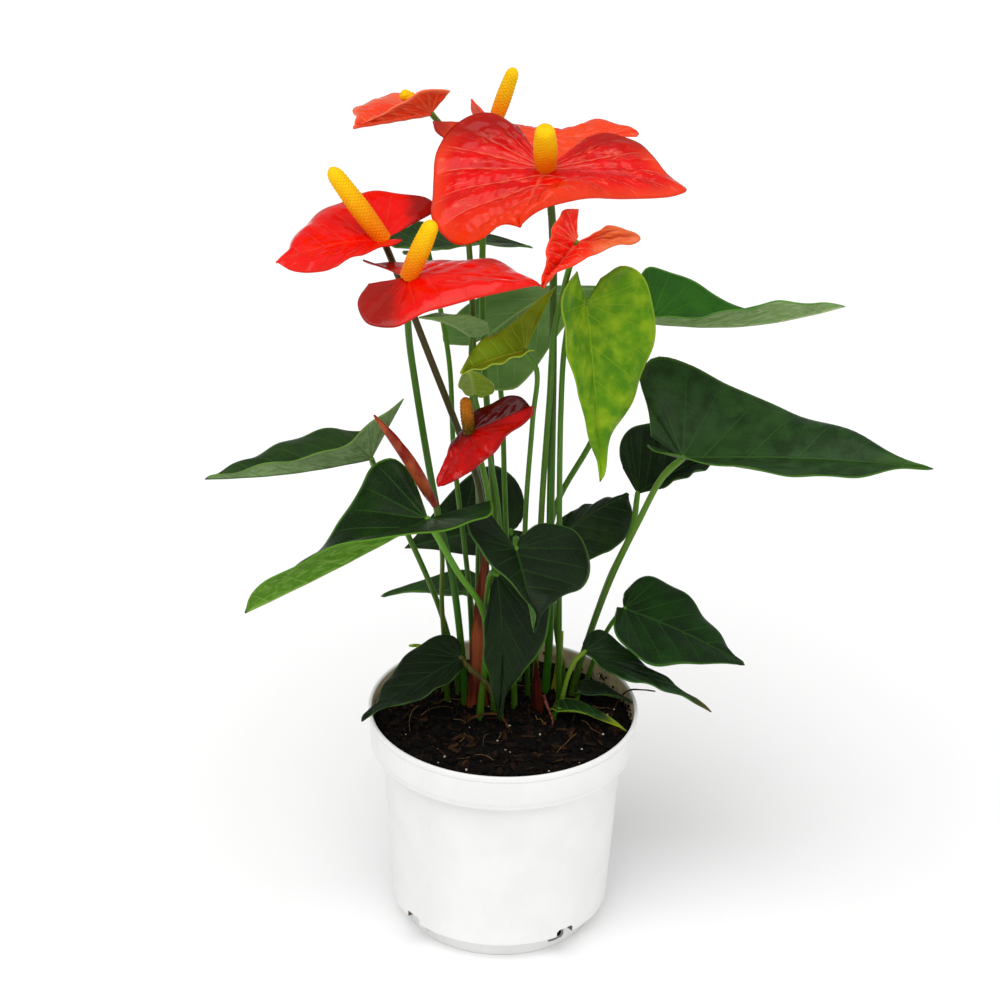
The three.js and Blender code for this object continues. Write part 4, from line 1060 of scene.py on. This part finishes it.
def sheath(form, spec, phase):
    """A thin dry scale, split and creased along its length."""
    rows, columns = SHEATH_ROWS, SHEATH_COLUMNS
    foot = np.array([*spec["foot"], SOIL["level"] - BURIED], float)
    top = np.array(spec["top"], float)
    places, faces = [], []
    for i in range(rows + 1):
        t = i / rows
        reach = spec["reach"] * (1 - 0.9 * t**2) * (1 + 0.07 * math.sin(19 * t + phase))
        for j in range(columns + 1):
            share = 2 * j / columns - 1
            angle = math.radians(spec["turn"] + share * reach)
            crease = 0.16 * math.sin(9 * share + phase + 2 * t) + 0.12 * math.sin(23 * share)
            radius = spec["radius"] + crease + 0.35 * math.sin(7 * t + phase) * share
            around = np.array([math.cos(angle), math.sin(angle), 0.0])
            places.append(foot + (top - foot) * t + radius * around)
    for i in range(rows):
        for j in range(columns):
            a = i * (columns + 1) + j
            b = a + columns + 1
            faces.append((a, a + 1, b + 1, b))
    add_shell(form, np.array(places), faces, SHEATH_THICK)


def twig(form, spec, phase):
    """A crooked twig or root that gets thinner to its end."""
    line = smooth_line(spec["points"], 0.8)
    t = np.linspace(0, 1, len(line))
    radii = spec["radius"] * (1 - 0.35 * t) * (1 + 0.12 * np.sin(21 * t + phase))
    line = line + 0.25 * np.stack([np.sin(9 * t + phase), np.cos(7 * t), 0 * t], 1)
    tube(form, line, radii, TWIG_SIDES)


# ---------- the pot ----------
def pot_outline():
    """The pot's section: (radius, height, radius of its corner), up the outside and down the inside."""
    p = POT
    low = p["height"] - p["collar_height"]
    bead = p["height"] - p["bead_drop"]
    under = p["rim_radius"] - p["foot_flare"]
    wall, floor, foot = p["wall"], p["floor"], p["foot_height"]
    return [
        (p["foot_radius"], 0, 0.8), (p["foot_radius"] + p["foot_flare"], foot, 0.4),
        (p["corner_radius"], foot, 1.2), (p["shoulder_radius"], low - 1, 1.6),
        (p["collar_low_radius"], low, 1.3), (under, bead - p["bead_half"], 0.2),
        (under - p["bead_depth"], bead, 0.2), (p["rim_radius"], bead + p["bead_half"], 0.3),
        (p["rim_radius"], p["height"], 0.7), (p["rim_radius"] - wall, p["height"], 0.6),
        (p["collar_low_radius"] - wall, low + wall, 1.5), (p["shoulder_radius"] - wall, low - floor, 1.5),
        (p["corner_radius"] - wall, foot + floor + 0.2, 1.0), (p["foot_radius"] - wall, foot + floor, 0.8),
        (p["foot_radius"] - wall, floor, 0.8),
    ]


def rounded(outline, steps=5):
    """The outline with its corners rounded; the third number of a corner is its radius."""
    points = []
    for n, corner in enumerate(outline):
        here = np.array(corner[:2], float)
        before = np.array(outline[n - 1][:2] if n else (0, corner[1]), float)
        after = np.array(outline[n + 1][:2] if n + 1 < len(outline) else (0, corner[1]), float)
        back, ahead = before - here, after - here
        reach = min(corner[2], 0.45 * np.linalg.norm(back), 0.45 * np.linalg.norm(ahead))
        start = here + back / np.linalg.norm(back) * reach
        end = here + ahead / np.linalg.norm(ahead) * reach
        for k in range(steps + 1):
            t = k / steps
            points.append((1 - t) ** 2 * start + 2 * t * (1 - t) * here + t * t * end)
    return points


def turned(form, points, segments, low_middle, high_middle):
    """A solid of revolution through these (radius, height) points, closed at both ends on the axis."""
    rings = []
    for radius, z in points:
        for j in range(segments):
            angle = 2 * math.pi * j / segments
            rings.append((radius * math.cos(angle), radius * math.sin(angle), z))
    add_body(form, (0.0, 0.0, low_middle), rings, (0.0, 0.0, high_middle), segments)


def notch_cutter(number):
    """The rounded box that cuts one drain notch."""
    work = bmesh.new()
    bmesh.ops.create_cube(work, size=1)
    size = Vector((NOTCH["depth"], NOTCH["width"], NOTCH["height"])) * MM
    bmesh.ops.scale(work, vec=size, verts=work.verts)
    bmesh.ops.bevel(work, geom=work.edges[:], offset=NOTCH["rounding"] * MM, segments=3, affect="EDGES")
    height = POT["foot_height"] - NOTCH["height"] / 2 + NOTCH["rise"]
    bmesh.ops.translate(work, vec=Vector((POT["foot_radius"] + 1, 0, height)) * MM, verts=work.verts)
    angle = math.radians(NOTCH["first_angle"] + 360 / NOTCH["count"] * number)
    bmesh.ops.rotate(work, matrix=Matrix.Rotation(angle, 3, "Z"), verts=work.verts)
    mesh = bpy.data.meshes.new("notch")
    work.to_mesh(mesh)
    work.free()
    cutter = bpy.data.objects.new("notch", mesh)
    bpy.context.scene.collection.objects.link(cutter)
    return cutter


def make_pot():
    """The moulded pot, with the notches cut out of it."""
    form = Form()
    turned(form, rounded(pot_outline()), POT_SEGMENTS, 0, POT["floor"])
    pot = form.piece("pot_moulded", [pot_skin()], "pot_white", "pot")
    for number in range(NOTCH["count"]):
        cutter = notch_cutter(number)
        cut = pot.modifiers.new("notch", "BOOLEAN")
        cut.object, cut.operation, cut.solver = cutter, "DIFFERENCE", "EXACT"
        bake_modifiers(pot)
        bpy.data.objects.remove(cutter)
    mark_sharp(pot.data, 25)


def bake_modifiers(piece):
    """The piece keeps the mesh that its modifiers make, and no modifiers."""
    shaped = piece.evaluated_get(bpy.context.evaluated_depsgraph_get())
    mesh = bpy.data.meshes.new_from_object(shaped)
    piece.modifiers.clear()
    piece.data = mesh


def pot_skin():
    """White moulded plastic, beige with peat dust on the inner wall, and painted shade inside the notches."""
    m = Shader("pot_plastic", Roughness=0.42, Coat_Weight=0.1, Coat_Roughness=0.3)
    x, y, z = m.split(m.place)
    across = m.math("SQRT", m.math("ADD", m.times(x, x), m.times(y, y)), 0.0)
    wall, corner = POT["collar_low_radius"], POT["corner_radius"]
    foot, top = POT["foot_height"], POT["height"]
    inside = m.times(m.step(across, wall + 0.3, wall), m.step(z, 88, 92), m.step(z, top - 0.2, top - 1.2))
    dust = m.times(m.step(m.noise(5, 5), 0.4, 0.75), m.step(z, 106, 97))
    shade = m.mix(m.step(m.noise(22, 3), 0.3, 0.7), "f0f0ef", "ebebea")
    shade = m.cover(shade, "a8a49c", m.step(m.noise(2.5, 6, (1, 1, 0.3)), 0.62, 0.75), 0.06)
    shade = m.mix(inside, shade, m.mix(dust, "d8c6a0", "7a5c38"))
    # painted shade on the cut faces inside the drain notches
    notch = m.times(m.step(z, foot, foot + 0.4), m.step(across, corner, corner - 0.5), m.step(z, 40, 30))
    shade = m.mix(notch, shade, "7c6a54")
    m.bump(m.noise(0.9, 3), 0.04)
    return m.color(shade)


# ---------- the peat and what lies on it ----------
def soil_height(x, y):
    """The solids' soil surface: a low mound round the crowns, lumps, and a fall toward the wall."""
    from_crown = math.hypot(x - SOIL["crown"][0], y - SOIL["crown"][1]) / SOIL["crown_spread"]
    span = POT["rim_radius"] - SOIL["edge_start"]
    edge = max(0.0, (math.hypot(x, y) - SOIL["edge_start"]) / span) ** 2
    lumps = math.sin(x * 0.31 + 1.3) * math.cos(y * 0.27) + 0.6 * math.sin(0.17 * (x + y) + 0.7)
    mound = SOIL["crown_rise"] * math.exp(-(from_crown**2))
    return SOIL["level"] + mound - SOIL["edge_drop"] * edge + SOIL["bump"] * lumps


def roughness(x, y):
    """Crumbly unevenness of the peat, in mm."""
    coarse = noise.fractal(Vector((x / 5, y / 5, 3.0)), 1.0, 2.1, 4)
    fine = noise.noise(Vector((x / 1.3, y / 1.3, 9.0)))
    return 1.3 * coarse + 0.6 * fine


def make_peat():
    """The filling, with a surface that is crumbly to the wall."""
    p = POT

    def inner(radius):
        return radius - p["wall"] - CLEAR

    low = p["height"] - p["collar_height"]
    ledge = p["foot_height"] + p["floor"] + 2 * CLEAR
    edge = inner(p["collar_low_radius"])
    points = [
        (inner(p["foot_radius"]), p["floor"] + CLEAR), (inner(p["foot_radius"]), ledge),
        (inner(p["corner_radius"]), ledge + 0.2), (inner(p["shoulder_radius"]), low - p["floor"] - 0.2),
        (edge, low + 2 * p["wall"]),
    ]
    points += [(edge * (1 - i / PEAT_TOP_RINGS), SOIL["level"]) for i in range(PEAT_TOP_RINGS)]
    form = Form()
    turned(form, points, PEAT_SEGMENTS, p["floor"] + CLEAR, SOIL["level"])
    for n, (x, y, z) in enumerate(form.places):
        if z > SOIL["level"] - 0.1:
            fade = min(1.0, (edge - math.hypot(x, y)) / 2 + 0.3)
            form.places[n] = (x, y, soil_height(x, y) + fade * roughness(x, y))
    skin = plain_skin("peat", "030201", "100a06", 4, 0.95, 0.8)
    return form.piece("peat_filling", [skin], "peat", "soil")


def lump(form, centre, size, rng, kind, rings=5, sides=7):
    """A small irregular closed lump; size holds its three half lengths."""
    spin = Matrix.Rotation(rng.uniform(0, 2 * math.pi), 3, "Z")
    spin = spin @ Matrix.Rotation(rng.uniform(-0.5, 0.5), 3, "X")
    places = []
    for i in range(1, rings):
        turn = math.pi * i / rings
        for j in range(sides):
            angle = 2 * math.pi * j / sides
            r = rng.uniform(0.75, 1.2)
            local = Vector((
                size[0] * r * math.sin(turn) * math.cos(angle),
                size[1] * r * math.sin(turn) * math.sin(angle),
                -size[2] * r * math.cos(turn),
            ))
            places.append(centre + np.array(spin @ local))
    low, high = (centre + np.array(spin @ Vector((0, 0, end))) for end in (-size[2], size[2]))
    add_body(form, low, places, high, sides, kind)


def on_soil(rng, inset=1.5):
    """A random place on the soil."""
    radius = (POT["collar_low_radius"] - POT["wall"] - inset) * math.sqrt(rng.uniform(0, 1))
    angle = rng.uniform(0, 2 * math.pi)
    x, y = radius * math.cos(angle), radius * math.sin(angle)
    return np.array([x, y, soil_height(x, y) + 0.8 * roughness(x, y)])


def fibre(form, rng):
    """A thin root that lies bent on the peat, if it is long enough before it gets near the wall."""
    here = on_soil(rng, 9)
    way, bend = rng.uniform(0, 2 * math.pi), rng.uniform(-1.6, 1.6)
    length, points = rng.uniform(6, 20), []
    parts = 4
    for k in range(parts + 1):
        turn = way + bend * k / parts
        here = here + length / parts * np.array([math.cos(turn), math.sin(turn), 0])
        if math.hypot(*here[:2]) > FIBRE_REACH:
            break
        lift = 0.7 + rng.uniform(0, 2.2)
        points.append((here[0], here[1], soil_height(here[0], here[1]) + lift))
    if len(points) > 2:
        line = smooth_line(points, 1.2)
        radii = rng.uniform(0.1, 0.22) * np.linspace(1, 0.5, len(line))
        tube(form, line, radii, FIBRE_SIDES, int(rng.integers(0, 3)), False)


def make_litter():
    """Crumbs on the peat and on the pot's inner wall, bark chips, pale specks and root fibres."""
    rng = np.random.default_rng(SEED)
    crumbs, bark, specks, fibres = Form(), Form(), Form(), Form()
    for _ in range(LITTER["crumbs"]):
        size = 0.5 + 1.5 * rng.uniform(0, 1) ** 2.5
        half = size * rng.uniform(0.6, 1.2, 3)
        lump(crumbs, on_soil(rng, 2.5) + (0, 0, 0.3 * size), half, rng, int(rng.integers(0, 3)))
    for _ in range(LITTER["wall_crumbs"]):
        angle = math.radians(rng.normal(175, 38) if rng.uniform() < 0.6 else rng.normal(12, 26))
        size = rng.uniform(0.35, 1.0)
        radius = POT["collar_low_radius"] - POT["wall"] + 0.4 - 0.5 * size
        lift = SOIL["level"] - 3 + 7 * rng.uniform() ** 1.6
        centre = np.array([radius * math.cos(angle), radius * math.sin(angle), lift])
        lump(crumbs, centre, size * rng.uniform(0.5, 1.0, 3), rng, int(rng.integers(0, 3)))
    for _ in range(LITTER["chips"]):
        length = rng.uniform(1.5, 5.0)
        half = (length, rng.uniform(0.6, 1.5), rng.uniform(0.3, 0.8))
        lump(bark, on_soil(rng, 6) + (0, 0, 0.7), half, rng, int(rng.integers(0, 3)), 6, 8)
    for _ in range(LITTER["specks"]):
        size = rng.uniform(0.25, 0.75)
        lump(specks, on_soil(rng, 3) + (0, 0, 0.6), (size, size, 0.8 * size), rng, int(rng.integers(0, 2)))
    for _ in range(LITTER["fibres"]):
        fibre(fibres, rng)
    dark = plain_skin("crumb_black", "040302", "0d0805", 2, 0.95, 0.4)
    brown = plain_skin("crumb_brown", "140b06", "26160a", 2, 0.9, 0.4)
    russet = plain_skin("crumb_russet", "24140a", "402810", 2, 0.9, 0.4, (1, 1, 3))
    pale = plain_skin("speck_pale", "a89c84", "d8d0bc", 1, 0.8, 0.2)
    straw = plain_skin("fibre_straw", "6a4e28", "8f7040", 1, 0.7, 0.2)
    crumbs.piece("peat_crumbs", [dark, dark, brown], "peat")
    bark.piece("bark_chips", [dark, brown, russet], "peat")
    specks.piece("pale_specks", [pale, russet], "peat")
    fibres.piece("root_fibres", [brown, russet, straw], "twig_brown")


# ---------- the plant ----------
def make_leaf(name, spec, phase):
    look = {**LEAF_LOOKS[spec["look"]], **spec.get("own", {})}
    form = Form()
    blade(form, spec, look, LEAF_THICK, LEAF_ROWS, LEAF_COLUMNS, phase)
    stalk(form, spec, 2)
    materials = [
        leaf_face(f"{name}_upper", look, False), leaf_face(f"{name}_under", look, True),
        stalk_skin(f"{name}_stalk", *spec.get("stalk_colors", STALK_COLORS), "64862a"),
    ]
    form.piece(f"{name}_fine", materials, f"leaf_{spec['look']}", name)


def make_bloom(name, spec, phase):
    look = {**SPATHE_LOOKS[spec["look"]], **spec.get("own", {})}
    spathe = Form()
    blade(spathe, spec, look, SPATHE_THICK, SPATHE_ROWS, SPATHE_COLUMNS, phase)
    faces = [spathe_face(f"{name}_upper", look, False), spathe_face(f"{name}_under", look, True)]
    spathe.piece(f"{name}_spathe_fine", faces, f"spathe_{spec['look']}", f"{name}_spathe")
    stem = Form()
    stalk(stem, spec, 0, joint=False)
    colors = spec.get("stalk_colors", STALK_COLORS)
    skin = stalk_skin(f"{name}_stalk", *colors, spec.get("neck", "6a7a20"))
    stem.piece(f"{name}_stalk_fine", [skin], "stalk_green", f"{name}_stalk")
    club = Form()
    spadix(club, spec)
    skin = spadix_skin(f"{name}_spadix", *spec.get("spadix_colors", SPADIX_COLORS))
    club.piece(f"{name}_spadix_fine", [skin], "spadix_yellow", f"{name}_spadix")


for number, (name, spec) in enumerate(LEAVES.items()):
    make_leaf(name, spec, 0.37 * number)
for number, (name, spec) in enumerate(BLOOMS.items()):
    make_bloom(name, spec, 0.29 * number)

form = Form()
bud(form)
stalk(form, BUD, 1, joint=False)
bud_skin = plain_skin("bud_skin", "7c140a", "a8502a", 6, 0.4, 0.5, (1, 1, 0.5), coat=0.1)
bud_stalk = stalk_skin("bud_stalk", "33560f", "4a6a16", "6a4a1c")
form.piece("bloom_bud_fine", [bud_skin, bud_stalk], "bud_brown", "bloom_bud")

for number, (name, spec) in enumerate(SHEATHS.items()):
    form = Form()
    sheath(form, spec, 1.7 * number)
    skin = plain_skin(f"{name}_skin", *spec["colors"], 3, 0.65, 0.3, (1, 1, 0.12))
    form.piece(f"{name}_fine", [skin], "sheath_brown", name)
for number, (name, spec) in enumerate(TWIGS.items()):
    form = Form()
    twig(form, spec, 1.3 * number)
    skin = plain_skin(f"{name}_skin", *spec.get("colors", TWIG_COLORS), 1.5, 0.8, 0.25)
    form.piece(f"{name}_fine", [skin], "twig_brown", name)

make_pot()
make_peat()
make_litter()

# ---------- floor, light and camera ----------
FLOOR_SIZE = 8.0
FLOOR_WHITE = 0.95
CAMERA_PLACE = (-3.256, -1524.36, 1029.88)
CAMERA_RIGHT = (0.99978, 0.00993, 0.01844)
CAMERA_UP = (-0.02094, 0.47398, 0.88028)
CAMERA_LENS, CAMERA_SENSOR = 144, 36
SUNS = {"key": (-30, 62, 1.8, 60), "fill": (50, 50, 0.8, 90)}  # azimuth, elevation, power, spread
SKY_STRENGTH = 0.44


def make_floor():
    work = bmesh.new()
    bmesh.ops.create_grid(work, x_segments=2, y_segments=2, size=FLOOR_SIZE / 2)
    mesh = bpy.data.meshes.new("floor")
    work.to_mesh(mesh)
    work.free()
    floor = bpy.data.objects.new("floor", mesh)
    bpy.context.scene.collection.objects.link(floor)
    m = Shader("floor_white", Roughness=0.9, Specular_IOR_Level=0.1)
    mesh.materials.append(m.color((FLOOR_WHITE, FLOOR_WHITE, FLOOR_WHITE, 1)))


def add_sun(name, azimuth, elevation, power, spread):
    """A soft sun. It comes from azimuth 0 in front of the object and 90 at its right, in degrees."""
    light = bpy.data.lights.new(name, "SUN")
    light.energy, light.angle = power, math.radians(spread)
    lamp = bpy.data.objects.new(name, light)
    a, e = math.radians(azimuth), math.radians(elevation)
    way = Vector((math.sin(a) * math.cos(e), -math.cos(a) * math.cos(e), math.sin(e)))
    lamp.rotation_euler = way.to_track_quat("Z", "Y").to_euler()
    bpy.context.scene.collection.objects.link(lamp)


def add_camera():
    camera = bpy.data.cameras.new("camera")
    camera.lens, camera.sensor_width = CAMERA_LENS, CAMERA_SENSOR
    camera.clip_start, camera.clip_end = 0.05, 50
    eye = bpy.data.objects.new("camera", camera)
    right, up = Vector(CAMERA_RIGHT), Vector(CAMERA_UP)
    turn = Matrix((right, up, right.cross(up))).transposed().to_4x4()
    eye.matrix_world = Matrix.Translation(Vector(CAMERA_PLACE) * MM) @ turn
    bpy.context.scene.collection.objects.link(eye)
    bpy.context.scene.camera = eye


make_floor()
for name, measures in SUNS.items():
    add_sun(name, *measures)
world = bpy.data.worlds.new("studio")
world.use_nodes = True
world.node_tree.nodes["Background"].inputs["Color"].default_value = (1, 1, 1, 1)
world.node_tree.nodes["Background"].inputs["Strength"].default_value = SKY_STRENGTH
bpy.context.scene.world = world
bpy.context.scene.view_settings.view_transform = "Standard"
add_camera()
